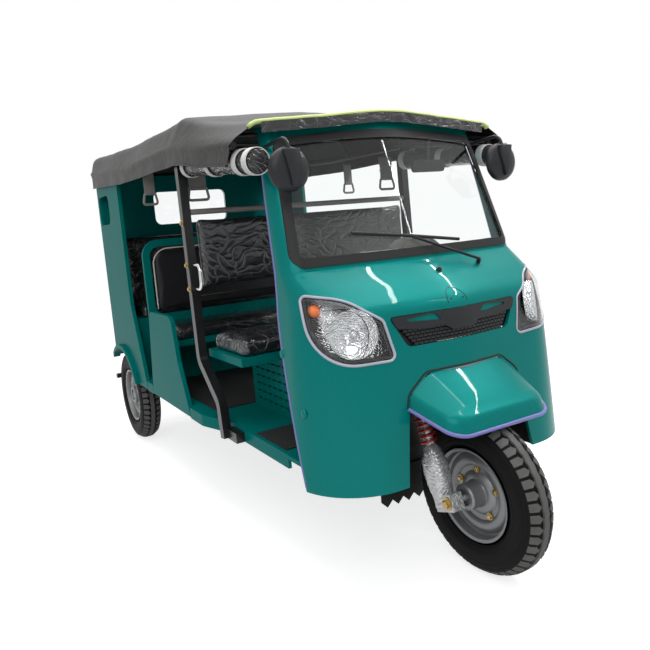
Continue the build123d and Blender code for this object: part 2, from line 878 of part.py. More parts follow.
canopy_ys = [row[0] for row in CANOPY_ROWS]
with BuildPart() as roof_canopy:
    loft(sections=[canopy_outline(y, 0) for y in canopy_ys], ruled=True)
    loft(
        sections=[canopy_outline(y, CANOPY_T) for y in canopy_ys[:-1] + [CANOPY_REAR - CANOPY_T]],
        ruled=True,
        mode=Mode.SUBTRACT,
    )
roof_canopy.part.label = "roof_canopy"
export_step(roof_canopy.part, "parts/roof_canopy.step")

with BuildPart() as roof_frame:
    for side in SIDES:
        with BuildLine() as rail_line:
            FilletPolyline(*[(side * ROOF_RAIL_X, y, rail_z(y)) for y in RAIL_YS], radius=RAIL_BEND)
        with BuildSketch(rail_line.line ^ 0):
            Circle(RAIL_R)
        sweep()
        with Locations((side * (ROOF_RAIL_X + STUB_X) / 2, STUB_Y, rail_z(STUB_Y))):
            Cylinder(STUB_R, ROOF_RAIL_X - STUB_X, rotation=(0, 90, 0))
    for y in BOW_YS:
        _, _, _, corner_x, corner_z, crown = canopy_at(y)
        depth = CANOPY_T + RAIL_R + BOW_SLACK
        bow_x = corner_x - depth
        bow_z = corner_z - depth
        with BuildLine() as bow_line:
            FilletPolyline(
                (-ROOF_RAIL_X, y, rail_z(y)),
                (-bow_x, y, bow_z),
                (0, y, crown - depth),
                (bow_x, y, bow_z),
                (ROOF_RAIL_X, y, rail_z(y)),
                radius=BOW_BEND,
            )
        with BuildSketch(bow_line.line ^ 0):
            Circle(RAIL_R)
        sweep()
roof_frame.part.label = "roof_frame"
export_step(roof_frame.part, "parts/roof_frame.step")

quarter_fore = rail_z(QUARTER_FRONT) - RAIL_R - FIT
quarter_aft = rail_z(QUARTER_REAR) - RAIL_R - FIT
with BuildPart() as quarter_panels:
    with BuildSketch(Plane.YZ.offset(SIDE_X - SIDE_T)):
        with BuildLine():
            Polyline(
                (QUARTER_FRONT, quarter_fore),
                (QUARTER_FRONT, QUARTER_WAIST),
                (QUARTER_FOOT, SIDE_BOTTOM),
                (QUARTER_REAR, SIDE_BOTTOM),
                (QUARTER_REAR, quarter_aft),
                close=True,
            )
        make_face()
        with Locations((REAR_Y, TYRE_R)):
            Circle(ARCH_R, mode=Mode.SUBTRACT)
        with Locations((VENT_Y, VENT_Z)):
            RectangleRounded(VENT_L, VENT_H, VENT_R, mode=Mode.SUBTRACT)
    extrude(amount=SIDE_T)
    with BuildSketch(Plane.YZ.offset(SIDE_X)):
        with Locations((REAR_Y, TYRE_R)):
            Circle(ARCH_R + ARCH_LIP)
            Circle(ARCH_R, mode=Mode.SUBTRACT)
        with Locations(((QUARTER_FOOT + QUARTER_REAR) / 2, (SIDE_BOTTOM + QUARTER_WAIST) / 2)):
            Rectangle(QUARTER_REAR - QUARTER_FOOT, QUARTER_WAIST - SIDE_BOTTOM, mode=Mode.INTERSECT)
    extrude(amount=ARCH_LIP_T)
    mirror(about=Plane.YZ)
quarter_panels.part.label = "quarter_panels"
export_step(quarter_panels.part, "parts/quarter_panels.step")

with BuildPart() as rear_wheel_housings:
    with BuildSketch(Plane.YZ.offset(WELL_X)):
        with Locations((REAR_Y, TYRE_R)):
            Circle(ARCH_R + HOUSING_T)
        with Locations(((REAR_FRONT + WALL_REAR - WALL_T) / 2, (SIDE_BOTTOM + QUARTER_WAIST) / 2)):
            well_l = WALL_REAR - WALL_T - REAR_FRONT - 2 * FIT
            Rectangle(well_l, QUARTER_WAIST - SIDE_BOTTOM, mode=Mode.INTERSECT)
    extrude(amount=SIDE_X - SIDE_T - FIT - WELL_X)
    with BuildSketch(Plane.YZ.offset(WELL_X + HOUSING_T)):
        with Locations((REAR_Y, TYRE_R)):
            Circle(ARCH_R)
    extrude(amount=SIDE_X, mode=Mode.SUBTRACT)
    mirror(about=Plane.YZ)
rear_wheel_housings.part.label = "rear_wheel_housings"
export_step(rear_wheel_housings.part, "parts/rear_wheel_housings.step")

wall_x = SIDE_X - SIDE_T - FIT
wall_low = FLOOR_Z - FLOOR_T
with BuildPart() as rear_wall:
    with BuildSketch(Plane.XZ.offset(-WALL_REAR)):
        with Locations((0, (wall_low + WALL_TOP) / 2)):
            Rectangle(2 * wall_x, WALL_TOP - wall_low)
        with Locations(*[(side * (ARCH_CUT_X + wall_x) / 2, (wall_low + ARCH_CUT_Z) / 2) for side in SIDES]):
            Rectangle(wall_x - ARCH_CUT_X, ARCH_CUT_Z - wall_low, mode=Mode.SUBTRACT)
        with Locations((0, (WINDOW_LOW + WINDOW_HIGH) / 2)):
            RectangleRounded(WINDOW_W, WINDOW_HIGH - WINDOW_LOW, WINDOW_R, mode=Mode.SUBTRACT)
    extrude(amount=WALL_T)
    with BuildSketch(Plane.XZ.offset(-WALL_REAR)) as ribs:
        with Locations((0, (RIB_LOW + RIB_HIGH) / 2)):
            with GridLocations(RIB_PITCH, 1, RIB_COUNT, 1):
                SlotOverall(RIB_HIGH - RIB_LOW, RIB_W, rotation=90)
    extrude(amount=-RIB_DEPTH)
    extrude(ribs.sketch.moved(Pos(0, -WALL_T, 0)), amount=-RIB_DEPTH, mode=Mode.SUBTRACT)
rear_wall.part.label = "rear_wall"
export_step(rear_wall.part, "parts/rear_wall.step")

with BuildPart() as rear_window:
    with BuildSketch(Plane.XZ.offset(WALL_T / 2 - WALL_REAR)):
        with Locations((0, (WINDOW_LOW + WINDOW_HIGH) / 2)):
            RectangleRounded(WINDOW_W - 2 * FIT, WINDOW_HIGH - WINDOW_LOW - 2 * FIT, WINDOW_R - FIT)
    extrude(amount=WINDOW_T)
rear_window.part.label = "rear_window"
export_step(rear_window.part, "parts/rear_window.step")

post_top = rail_z(POST_Y - POST_W / 2) - RAIL_R - 2 * FIT
post_lean = (POST_Y - POST_HIP_Y) / (post_top - POST_HIP_Z)
with BuildPart() as post_frame:
    for side in SIDES:
        with BuildLine() as post_line:
            FilletPolyline(
                (side * POST_X, POST_FOOT_Y, SILL_Z),
                (side * POST_X, POST_KNEE_Y, POST_KNEE_Z),
                (side * POST_X, POST_HIP_Y, POST_HIP_Z),
                (side * POST_X, POST_Y, post_top),
                radius=POST_BEND,
            )
        with BuildSketch(Plane(origin=post_line.line @ 0, x_dir=(1, 0, 0), z_dir=post_line.line % 0)):
            Rectangle(POST_W, POST_W)
        sweep()
        bracket_x = (SILL_X + FIT + POST_X) / 2
        with Locations((side * bracket_x, (BRACKET_FRONT + POST_FOOT_Y) / 2, SILL_Z + BRACKET_H / 2 + FIT)):
            Box(POST_X - SILL_X - FIT, POST_FOOT_Y - BRACKET_FRONT, BRACKET_H)
    with Locations((0, BACK_Y, CROSS_Z)):
        Box(2 * POST_X, CROSS_H, CROSS_H)
post_frame.part.label = "post_frame"
export_step(post_frame.part, "parts/post_frame.step")

with BuildPart() as driver_backrest:
    with BuildSketch(Plane.XZ.offset(-BACK_Y - BACK_T / 2)):
        with Locations((0, (BACK_LOW + BACK_HIGH) / 2)):
            RectangleRounded(2 * POST_X - POST_W - 2 * FIT, BACK_HIGH - BACK_LOW, BACK_R)
    extrude(amount=BACK_T)
driver_backrest.part.label = "driver_backrest"
export_step(driver_backrest.part, "parts/driver_backrest.step")


def grab_root(z):
    """Y of a grab handle's end, just clear of the post's front face at one height."""
    return POST_HIP_Y + post_lean * (z - POST_HIP_Z) - POST_W / 2 - 2 * FIT


with BuildPart() as grab_handles:
    for side in SIDES:
        with BuildLine() as grab_line:
            FilletPolyline(
                (side * POST_X, grab_root(GRAB_LOW), GRAB_LOW),
                (side * POST_X, grab_root(GRAB_LOW) - GRAB_OUT, GRAB_LOW),
                (side * POST_X, grab_root(GRAB_LOW) - GRAB_OUT, GRAB_HIGH),
                (side * POST_X, grab_root(GRAB_HIGH), GRAB_HIGH),
                radius=GRAB_BEND,
            )
        with BuildSketch(grab_line.line ^ 0):
            Circle(GRAB_R)
        sweep()
grab_handles.part.label = "grab_handles"
export_step(grab_handles.part, "parts/grab_handles.step")

tray_top = BENCH_TOP - BENCH_CUSHION - FIT
box_top = tray_top - TRAY_T
with BuildPart() as driver_seat_box:
    with BuildSketch(Plane.XY.offset(FLOOR_Z + FIT)):
        with Locations((0, (SEAT_BOX_FRONT + BENCH_REAR) / 2)):
            Rectangle(2 * SEAT_BOX_X, BENCH_REAR - SEAT_BOX_FRONT)
    extrude(amount=box_top - FLOOR_Z - FIT)
    with BuildSketch(Plane.XY.offset(box_top)):
        with Locations((0, (BENCH_FRONT + BENCH_REAR) / 2)):
            Rectangle(2 * BENCH_X, BENCH_REAR - BENCH_FRONT)
    extrude(amount=TRAY_T)
    with BuildSketch(Plane.XY.offset(FLOOR_Z)):
        with Locations((0, (SEAT_BOX_FRONT + BENCH_REAR) / 2)):
            Rectangle(2 * (SEAT_BOX_X - SEAT_BOX_T), BENCH_REAR - SEAT_BOX_FRONT - 2 * SEAT_BOX_T)
    extrude(amount=box_top - FLOOR_Z - SEAT_BOX_T, mode=Mode.SUBTRACT)
    with BuildSketch(Plane.YZ):
        with Locations(((SEAT_BOX_FRONT + BENCH_REAR) / 2, (FLOOR_Z + box_top) / 2)):
            with GridLocations(LOUVRE_PITCH_Y, LOUVRE_PITCH_Z, LOUVRE_COLUMNS, LOUVRE_ROWS):
                Rectangle(LOUVRE_L, LOUVRE_H)
    extrude(amount=SIDE_X, both=True, mode=Mode.SUBTRACT)
driver_seat_box.part.label = "driver_seat_box"
export_step(driver_seat_box.part, "parts/driver_seat_box.step")

with BuildPart() as driver_cushion:
    with BuildSketch(Plane.XY.offset(BENCH_TOP - BENCH_CUSHION)):
        with Locations((0, (BENCH_FRONT + BENCH_REAR) / 2)):
            RectangleRounded(2 * BENCH_X, BENCH_REAR - BENCH_FRONT, CUSHION_R)
    extrude(amount=BENCH_CUSHION)
    fillet(driver_cushion.edges().group_by(Axis.Z)[-1], CUSHION_EDGE)
driver_cushion.part.label = "driver_cushion"
export_step(driver_cushion.part, "parts/driver_cushion.step")

mid_tray_top = MID_TOP - MID_CUSHION - FIT
frame_mid_z = (FRAME_LOW + FRAME_HIGH - FRAME_W) / 2
frame_open_h = FRAME_HIGH - FRAME_W - FRAME_LOW
with BuildPart() as mid_bench_frame:
    with BuildSketch(Plane.XY.offset(mid_tray_top - MID_TRAY)):
        with Locations((0, (MID_FRONT + FRAME_Y) / 2)):
            Rectangle(2 * MID_X, FRAME_Y - MID_FRONT)
    extrude(amount=MID_TRAY)
    with BuildSketch(Plane.XY.offset(FLOOR_Z + FIT)):
        with Locations((0, MID_RISER_Y)):
            Rectangle(2 * MID_X, MID_RISER_T)
    extrude(amount=mid_tray_top - FLOOR_Z - FIT)
    with BuildSketch(Plane.XZ.offset(-FRAME_Y - FRAME_T / 2)) as hoop:
        with Locations((0, (mid_tray_top - MID_TRAY + FRAME_HIGH) / 2)):
            Rectangle(2 * FRAME_X, FRAME_HIGH - mid_tray_top + MID_TRAY)
        fillet(hoop.vertices().group_by(Axis.Y)[-1], FRAME_R)
        with Locations((0, frame_mid_z)):
            RectangleRounded(2 * (FRAME_X - FRAME_W), frame_open_h, FRAME_R - FRAME_W, mode=Mode.SUBTRACT)
    extrude(amount=FRAME_T)
mid_bench_frame.part.label = "mid_bench_frame"
export_step(mid_bench_frame.part, "parts/mid_bench_frame.step")

with BuildPart() as mid_cushion:
    with BuildSketch(Plane.XY.offset(MID_TOP - MID_CUSHION)):
        with Locations((0, (MID_FRONT + MID_REAR) / 2)):
            RectangleRounded(2 * MID_X, MID_REAR - MID_FRONT, CUSHION_R)
    extrude(amount=MID_CUSHION)
    fillet(mid_cushion.edges().group_by(Axis.Z)[-1], CUSHION_EDGE)
mid_cushion.part.label = "mid_cushion"
export_step(mid_cushion.part, "parts/mid_cushion.step")

with BuildPart() as mid_backrest:
    with BuildSketch(Plane.XZ.offset(-FRAME_Y - PAD_T / 2)):
        with Locations((0, frame_mid_z)):
            RectangleRounded(2 * (FRAME_X - FRAME_W - FIT), frame_open_h - 2 * FIT, FRAME_R - FRAME_W - FIT)
    extrude(amount=PAD_T)
mid_backrest.part.label = "mid_backrest"
export_step(mid_backrest.part, "parts/mid_backrest.step")

rear_tray_top = REAR_TOP - REAR_CUSHION - FIT
wall_front = WALL_REAR - WALL_T - FIT
with BuildPart() as rear_seat_box:
    with BuildSketch(Plane.YZ.offset(-wall_x)):
        with BuildLine():
            Polyline(
                (REAR_FRONT, FLOOR_Z + FIT),
                (REAR_FRONT + REAR_BOX_T, FLOOR_Z + FIT),
                (REAR_FRONT + REAR_BOX_T, rear_tray_top - REAR_BOX_T),
                (wall_front, rear_tray_top - REAR_BOX_T),
                (wall_front, rear_tray_top),
                (REAR_FRONT, rear_tray_top),
                close=True,
            )
        make_face()
    extrude(amount=2 * wall_x)
rear_seat_box.part.label = "rear_seat_box"
export_step(rear_seat_box.part, "parts/rear_seat_box.step")

with BuildPart() as rear_cushion:
    with BuildSketch(Plane.XY.offset(REAR_TOP - REAR_CUSHION)):
        with Locations((0, (REAR_FRONT + REAR_BACK_FOOT - FIT) / 2)):
            RectangleRounded(2 * REAR_X, REAR_BACK_FOOT - FIT - REAR_FRONT, CUSHION_R)
    extrude(amount=REAR_CUSHION)
    fillet(rear_cushion.edges().group_by(Axis.Z)[-1], CUSHION_EDGE)
rear_cushion.part.label = "rear_cushion"
export_step(rear_cushion.part, "parts/rear_cushion.step")

with BuildPart() as rear_backrest:
    with BuildSketch(Plane.YZ.offset(-REAR_X)):
        with BuildLine():
            Polyline(
                (REAR_BACK_FOOT, rear_tray_top + FIT),
                (wall_front, rear_tray_top + FIT),
                (wall_front, REAR_BACK_HIGH),
                (REAR_BACK_HEAD, REAR_BACK_HIGH),
                close=True,
            )
        make_face()
    extrude(amount=2 * REAR_X)
rear_backrest.part.label = "rear_backrest"
export_step(rear_backrest.part, "parts/rear_backrest.step")

roll_start = Vector(ROLL_X, ROLL_FRONT_Y, ROLL_FRONT_Z)
roll_run = Vector(ROLL_X, ROLL_REAR_Y, ROLL_REAR_Z) - roll_start
roll_plane = Plane(origin=roll_start, x_dir=(1, 0, 0), z_dir=roll_run)
with BuildPart() as curtain_rolls:
    with BuildSketch(roll_plane):
        Circle(ROLL_R)
    extrude(amount=roll_run.length)
    mirror(about=Plane.YZ)
curtain_rolls.part.label = "curtain_rolls"
export_step(curtain_rolls.part, "parts/curtain_rolls.step")

with BuildPart() as curtain_straps:
    for share in RING_SHARES:
        with BuildSketch(roll_plane.offset(share * roll_run.length - BAND_W / 2)):
            Circle(ROLL_R + FIT + BAND_T)
            Circle(ROLL_R + FIT, mode=Mode.SUBTRACT)
        extrude(amount=BAND_W)
    for share in STRAP_SHARES:
        ring = roll_start + roll_run * share
        strap_low = ring.Z + STRAP_LAP
        strap_high = rail_z(ring.Y - BAND_W / 2) - RAIL_R - FIT
        with Locations((ROOF_RAIL_X, ring.Y, (strap_low + strap_high) / 2)):
            Box(BAND_T, BAND_W, strap_high - strap_low)
    mirror(about=Plane.YZ)
curtain_straps.part.label = "curtain_straps"
export_step(curtain_straps.part, "parts/curtain_straps.step")

with BuildPart() as mirrors:
    with BuildLine() as arm_line:
        FilletPolyline(
            (ARM_ROOT_X, ARM_ROOT_Y, ARM_ROOT_Z),
            (MIRROR_X, MIRROR_Y, ARM_TOP),
            (MIRROR_X, MIRROR_Y, MIRROR_Z),
            radius=ARM_BEND,
        )
    with BuildSketch(arm_line.line ^ 0):
        Circle(ARM_R)
    sweep()
    with BuildSketch(Plane.XZ.offset(-MIRROR_Y - MIRROR_T / 2)):
        with Locations((MIRROR_X, MIRROR_Z)):
            Circle(MIRROR_R)
    extrude(amount=MIRROR_T)
    mirror(about=Plane.YZ)
mirrors.part.label = "mirrors"
export_step(mirrors.part, "parts/mirrors.step")

with BuildPart() as dashboard:
    with BuildSketch(Plane.XY.offset(DASH_Z)):
        with Locations((0, (FRONT_Y + DASH_REAR) / 2)):
            Rectangle(2 * SIDE_X, DASH_REAR - FRONT_Y)
    extrude(amount=DASH_T)
    add(lower_clear, mode=Mode.INTERSECT)
    with BuildSketch(Plane.XZ.offset(-DASH_REAR)):
        with BuildLine():
            dome = ThreePointArc(
                (HOOD_X - HOOD_W / 2, DASH_Z + DASH_T),
                (HOOD_X, HOOD_TOP),
                (HOOD_X + HOOD_W / 2, DASH_Z + DASH_T),
            )
            Line(dome @ 1, dome @ 0)
        make_face()
    extrude(amount=HOOD_L)
dashboard.part.label = "dashboard"
export_step(dashboard.part, "parts/dashboard.step")

with BuildPart() as wiper:
    with BuildLine() as blade_line:
        FilletPolyline(*WIPER_BLADE, radius=BLADE_BEND)
    with BuildSketch(blade_line.line ^ 0):
        Circle(BLADE_R)
    sweep()
    with BuildLine() as wiper_arm:
        Line(WIPER_PIVOT, WIPER_BLADE[1])
    with BuildSketch(wiper_arm.line ^ 0):
        Circle(WIPER_ARM_R)
    sweep()
    with BuildSketch(Plane(origin=WIPER_PIVOT, z_dir=WIPER_NORMAL)):
        Circle(PIVOT_R)
    extrude(amount=PIVOT_L)
wiper.part.label = "wiper"
export_step(wiper.part, "parts/wiper.step")

axle_half = TRACK / 2 - DRUM_IN - AXLE_FLANGE_GAP
with BuildPart() as rear_axle:
    with Locations((0, REAR_Y, TYRE_R)):
        Cylinder(AXLE_TUBE_R, 2 * axle_half, rotation=(0, 90, 0))
        Cylinder(DIFF_R, DIFF_W, rotation=(0, 90, 0))
        Cylinder(SPINDLE_R, TRACK + 2 * SPINDLE_END, rotation=(0, 90, 0))
    with Locations(*[(side * (axle_half - FLANGE_T / 2), REAR_Y, TYRE_R) for side in SIDES]):
        Cylinder(FLANGE_R, FLANGE_T, rotation=(0, 90, 0))
    with Locations((0, REAR_Y - PINION_L / 2, TYRE_R)):
        Cylinder(PINION_R, PINION_L, rotation=(90, 0, 0))
rear_axle.part.label = "rear_axle"
export_step(rear_axle.part, "parts/rear_axle.step")

spring_seat = TYRE_R + AXLE_TUBE_R + FIT
eye_z = spring_seat + LEAF_BEND_R - (LEAF_BEND_R**2 - (LEAF_LENGTHS[-1] / 2) ** 2) ** 0.5
with BuildPart() as leaf_springs:
    for index, length in enumerate(LEAF_LENGTHS):
        leaf_r = LEAF_BEND_R - index * SPRING_LEAF
        with BuildSketch(Plane.YZ.offset(SPRING_X - SPRING_W / 2)):
            with Locations((REAR_Y, spring_seat + LEAF_BEND_R)):
                Circle(leaf_r)
                Circle(leaf_r - SPRING_LEAF, mode=Mode.SUBTRACT)
            with Locations((REAR_Y, spring_seat + LEAF_BEND_R / 2)):
                Rectangle(length, LEAF_BEND_R, mode=Mode.INTERSECT)
        extrude(amount=SPRING_W)
    hanger_x = RAIL_X + RAIL_W / 2 + FIT
    eye_ys = [REAR_Y + end * (LEAF_LENGTHS[-1] - HANGER_L) / 2 for end in SIDES]
    with Locations(*[((hanger_x + SPRING_X) / 2, y, eye_z + HANGER_H / 2) for y in eye_ys]):
        Box(SPRING_X - hanger_x, HANGER_L, HANGER_H)
    mirror(about=Plane.YZ)
leaf_springs.part.label = "leaf_springs"
export_step(leaf_springs.part, "parts/leaf_springs.step")

with BuildPart() as engine_block:
    with Locations((0, ENGINE_Y, low_member_top + FIT + ENGINE_H / 2)):
        Box(ENGINE_W, ENGINE_L, ENGINE_H)
engine_block.part.label = "engine_block"
export_step(engine_block.part, "parts/engine_block.step")

engine_rear = ENGINE_Y + ENGINE_L / 2
shaft_start = Vector(0, engine_rear + SHAFT_GAP, SHAFT_Z)
shaft_run = Vector(0, REAR_Y - PINION_L - SHAFT_GAP, TYRE_R) - shaft_start
with BuildPart() as drive_shaft:
    with BuildSketch(Plane(origin=shaft_start, x_dir=(1, 0, 0), z_dir=shaft_run)):
        Circle(SHAFT_R)
    extrude(amount=shaft_run.length)
drive_shaft.part.label = "drive_shaft"
export_step(drive_shaft.part, "parts/drive_shaft.step")

muffler_front = MUFFLER_Y - MUFFLER_L / 2
muffler_rear = MUFFLER_Y + MUFFLER_L / 2
with BuildPart() as exhaust:
    with Locations((MUFFLER_X, MUFFLER_Y, MUFFLER_Z)):
        Cylinder(MUFFLER_R, MUFFLER_L, rotation=(90, 0, 0))
    with Locations((MUFFLER_X, muffler_rear + TAIL_PIPE_L / 2, MUFFLER_Z)):
        Cylinder(PIPE_R, TAIL_PIPE_L, rotation=(90, 0, 0))
    with BuildLine() as pipe_line:
        FilletPolyline(
            (PIPE_X, engine_rear + FIT, PIPE_Z),
            (PIPE_X, engine_rear + PIPE_RUN, PIPE_Z),
            (MUFFLER_X, muffler_front - PIPE_RUN, MUFFLER_Z),
            (MUFFLER_X, muffler_front + PIPE_R, MUFFLER_Z),
            radius=PIPE_BEND,
        )
    with BuildSketch(pipe_line.line ^ 0):
        Circle(PIPE_R)
    sweep()
    hanger_top = rail_top - MEMBER_W - FIT
    with Locations((MUFFLER_X, MEMBERS_HIGH[2] - HANGER_T / 2, (MUFFLER_Z + hanger_top) / 2)):
        Box(MUFFLER_R, HANGER_T, hanger_top - MUFFLER_Z)
exhaust.part.label = "exhaust"
export_step(exhaust.part, "parts/exhaust.step")

with BuildPart() as rear_bumper:
    with Locations((0, BUMPER_Y, BUMPER_Z)):
        Cylinder(BUMPER_R, 2 * BUMPER_X, rotation=(0, 90, 0))
    stay_y = (RAIL_REAR + FIT + BUMPER_Y) / 2
    with Locations(*[(side * RAIL_X, stay_y, rail_low + STAY_H / 2) for side in SIDES]):
        Box(STAY_W, BUMPER_Y - RAIL_REAR - FIT, STAY_H)
rear_bumper.part.label = "rear_bumper"
export_step(rear_bumper.part, "parts/rear_bumper.step")

with BuildPart() as tail_lamps:
    lamp_y = WALL_REAR + FIT + TAIL_LAMP_T / 2
    with Locations(*[(side * TAIL_LAMP_X, lamp_y, TAIL_LAMP_Z) for side in SIDES]):
        Box(TAIL_LAMP_W, TAIL_LAMP_T, TAIL_LAMP_H)
    fillet(tail_lamps.edges().filter_by(Axis.Y), TAIL_LAMP_R)
tail_lamps.part.label = "tail_lamps"
export_step(tail_lamps.part, "parts/tail_lamps.step")

with BuildPart() as mud_flap:
    with BuildSketch(Plane.XZ.offset(-HOUSING_REAR - FIT - FLAP_T)):
        with Locations((0, (FLAP_LOW + FLAP_TOP) / 2)):
            Rectangle(2 * FLAP_X, FLAP_TOP - FLAP_LOW)
        with Locations((0, FLAP_LOW)):
            with GridLocations(2 * FLAP_TOOTH, 1, FLAP_TEETH, 1):
                RegularPolygon(FLAP_TOOTH, 4, mode=Mode.SUBTRACT)
    extrude(amount=FLAP_T)
mud_flap.part.label = "mud_flap"
export_step(mud_flap.part, "parts/mud_flap.step")

with BuildPart(steer) as fork:
    for side in SIDES:
        with Locations((side * LEG_X, LEG_BACK, (LEG_BOTTOM + SLIDER_TOP) / 2)):
            Cylinder(SLIDER_R, SLIDER_TOP - LEG_BOTTOM)
        with Locations((side * LEG_X, LEG_BACK, (SLIDER_TOP + YOKE_Z) / 2)):
            Cylinder(LEG_TUBE_R, YOKE_Z - SLIDER_TOP)
        with Locations((side * LEG_X, (AXLE_FORE + LEG_BACK) / 2, AXLE_DROP)):
            Box(CLAMP_T, CLAMP_L, CLAMP_H)
    with Locations((0, AXLE_FORE, AXLE_DROP)):
        Cylinder(FRONT_AXLE_R, 2 * AXLE_END_X, rotation=(0, 90, 0))
    with Locations((0, 0, YOKE_Z + YOKE_T / 2)):
        Box(2 * (LEG_X + SLIDER_R), YOKE_DEPTH, YOKE_T)
    stem_low = YOKE_Z + YOKE_T
    stem_high = BAR_Z - BAR_CLAMP_H / 2 - FIT
    with Locations((0, 0, (stem_low + stem_high) / 2)):
        Cylinder(STEM_R, stem_high - stem_low)
    with Locations((0, 0, HEAD_Z + HEAD_LENGTH + END_PLAY + NUT_H / 2)):
        Cylinder(HEAD_R, NUT_H)
fork.part.label = "fork"
export_step(fork.part, "parts/fork.step")

coil_h = (YOKE_Z - SLIDER_TOP - 2 * FIT) / SPRING_COILS
with BuildPart(steer) as fork_springs:
    for side in SIDES:
        with Locations((side * LEG_X, LEG_BACK, (SLIDER_TOP + YOKE_Z) / 2)):
            Cylinder(SPRING_CORE, YOKE_Z - SLIDER_TOP - 2 * FIT)
        for coil in range(SPRING_COILS):
            with Locations((side * LEG_X, LEG_BACK, SLIDER_TOP + FIT + (coil + 0.5) * coil_h)):
                Cylinder(SPRING_R, coil_h / 2)
        with Locations((side * LEG_X, LEG_BACK, (SLIDER_TOP + YOKE_Z) / 2)):
            Cylinder(LEG_TUBE_R + FIT, YOKE_Z - SLIDER_TOP, mode=Mode.SUBTRACT)
fork_springs.part.label = "fork_springs"
export_step(fork_springs.part, "parts/fork_springs.step")

bar_points = [steer.from_local_coords(Vector(*point)) for point in HANDLEBAR]
with BuildPart() as handlebar:
    with BuildLine() as bar_line:
        FilletPolyline(*bar_points, radius=BAR_BEND)
    with BuildSketch(bar_line.line ^ 0):
        Circle(BAR_R)
    sweep()
    for end, turn in ((0, 1), (1, -1)):
        with BuildSketch(Plane(origin=bar_line.line @ end, z_dir=bar_line.line % end * turn)):
            Circle(GRIP_R)
        extrude(amount=GRIP_L)
    clamp_low = steer.offset(BAR_Z - BAR_CLAMP_H / 2)
    with BuildSketch(clamp_low):
        with Locations((0, BAR_CLAMP_Y)):
            Rectangle(2 * BAR_CLAMP_X, BAR_CLAMP_L)
    extrude(amount=BAR_CLAMP_H)
handlebar.part.label = "handlebar"
export_step(handlebar.part, "parts/handlebar.step")

# Wheels: side name, X of the wheel's middle, which way its outer side faces, Y of its axle
WHEELS = [
    ("front", 0, 1, FRONT_Y),
    ("rear_right", -TRACK / 2, -1, REAR_Y),
    ("rear_left", TRACK / 2, 1, REAR_Y),
]

for place, wheel_x, out, wheel_y in WHEELS:
    wheel_plane = Plane(origin=(wheel_x, wheel_y, TYRE_R), x_dir=(out, 0, 0), z_dir=(0, -out, 0))
    wheel_axis = Axis(wheel_plane.origin, wheel_plane.x_dir)
    with BuildPart() as tyre:
        with BuildSketch(wheel_plane):
            with BuildLine():
                Polyline(*TYRE_PROFILE, *[(-x, r) for x, r in reversed(TYRE_PROFILE)], close=True)
            make_face()
        revolve(axis=wheel_axis)
    tyre.part.label = place + "_tyre"
    export_step(tyre.part, "parts/" + place + "_tyre.step")

    rear = place != "front"
    hub_r = REAR_HUB_R if rear else FRONT_HUB_R
    hub_out = REAR_HUB_OUT if rear else FRONT_HUB_X
    hub_in = DRUM_IN if rear else FRONT_HUB_X
    bore = (SPINDLE_R if rear else FRONT_AXLE_R) + PIN_GAP
    lip_x = BEAD_X + FIT + RIM_LIP_T / 2
    with BuildPart() as rim:
        with BuildSketch(wheel_plane):
            with Locations((0, RIM_R - RIM_T / 2)):
                Rectangle(2 * (BEAD_X + FIT + RIM_LIP_T), RIM_T)
            with Locations((-lip_x, (RIM_LIP_IN + RIM_LIP_R) / 2), (lip_x, (RIM_LIP_IN + RIM_LIP_R) / 2)):
                Rectangle(RIM_LIP_T, RIM_LIP_R - RIM_LIP_IN)
            with Locations((DISC_OUT, RIM_R / 2)):
                Rectangle(DISC_T, RIM_R)
            with Locations(((hub_out - hub_in) / 2, hub_r / 2)):
                Rectangle(hub_out + hub_in, hub_r)
            if rear:
                with Locations(((DISC_OUT - DRUM_IN) / 2, DRUM_R / 2)):
                    Rectangle(DISC_OUT + DRUM_IN, DRUM_R)
            with Locations((0, bore / 2)):
                Rectangle(2 * (hub_in + hub_out), bore, mode=Mode.SUBTRACT)
        revolve(axis=wheel_axis)
    rim.part.label = place + "_rim"
    export_step(rim.part, "parts/" + place + "_rim.step")
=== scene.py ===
import logging
import math
from dataclasses import dataclass
from enum import Enum
from typing import Iterable, Optional, Sequence

import bmesh
import bpy
from mathutils import Matrix, Vector, noise
from mathutils.bvhtree import BVHTree


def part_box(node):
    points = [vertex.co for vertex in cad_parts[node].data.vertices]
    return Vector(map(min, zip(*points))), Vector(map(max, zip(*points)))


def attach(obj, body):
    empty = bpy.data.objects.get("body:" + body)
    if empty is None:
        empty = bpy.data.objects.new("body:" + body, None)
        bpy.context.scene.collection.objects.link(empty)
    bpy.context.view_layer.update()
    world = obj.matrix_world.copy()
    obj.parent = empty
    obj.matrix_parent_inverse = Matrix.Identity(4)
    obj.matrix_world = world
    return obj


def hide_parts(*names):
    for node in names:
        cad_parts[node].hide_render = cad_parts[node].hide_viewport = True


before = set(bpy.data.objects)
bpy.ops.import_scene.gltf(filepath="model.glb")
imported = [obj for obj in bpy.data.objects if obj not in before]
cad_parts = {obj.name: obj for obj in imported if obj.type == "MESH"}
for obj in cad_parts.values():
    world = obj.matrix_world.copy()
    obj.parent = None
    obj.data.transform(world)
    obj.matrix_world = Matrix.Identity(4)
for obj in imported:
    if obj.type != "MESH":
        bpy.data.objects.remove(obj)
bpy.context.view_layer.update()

LOG = logging.getLogger("rickshaw")
Colour = tuple[float, float, float]
Obj, Tree, Socket = bpy.types.Object, bpy.types.NodeTree, bpy.types.NodeSocket
SIDES = (-1, 1)
X_AXIS, Y_AXIS, Z_AXIS = Vector((1, 0, 0)), Vector((0, 1, 0)), Vector((0, 0, 1))
COAT_IOR = 1.3


# Shader groups and finishes


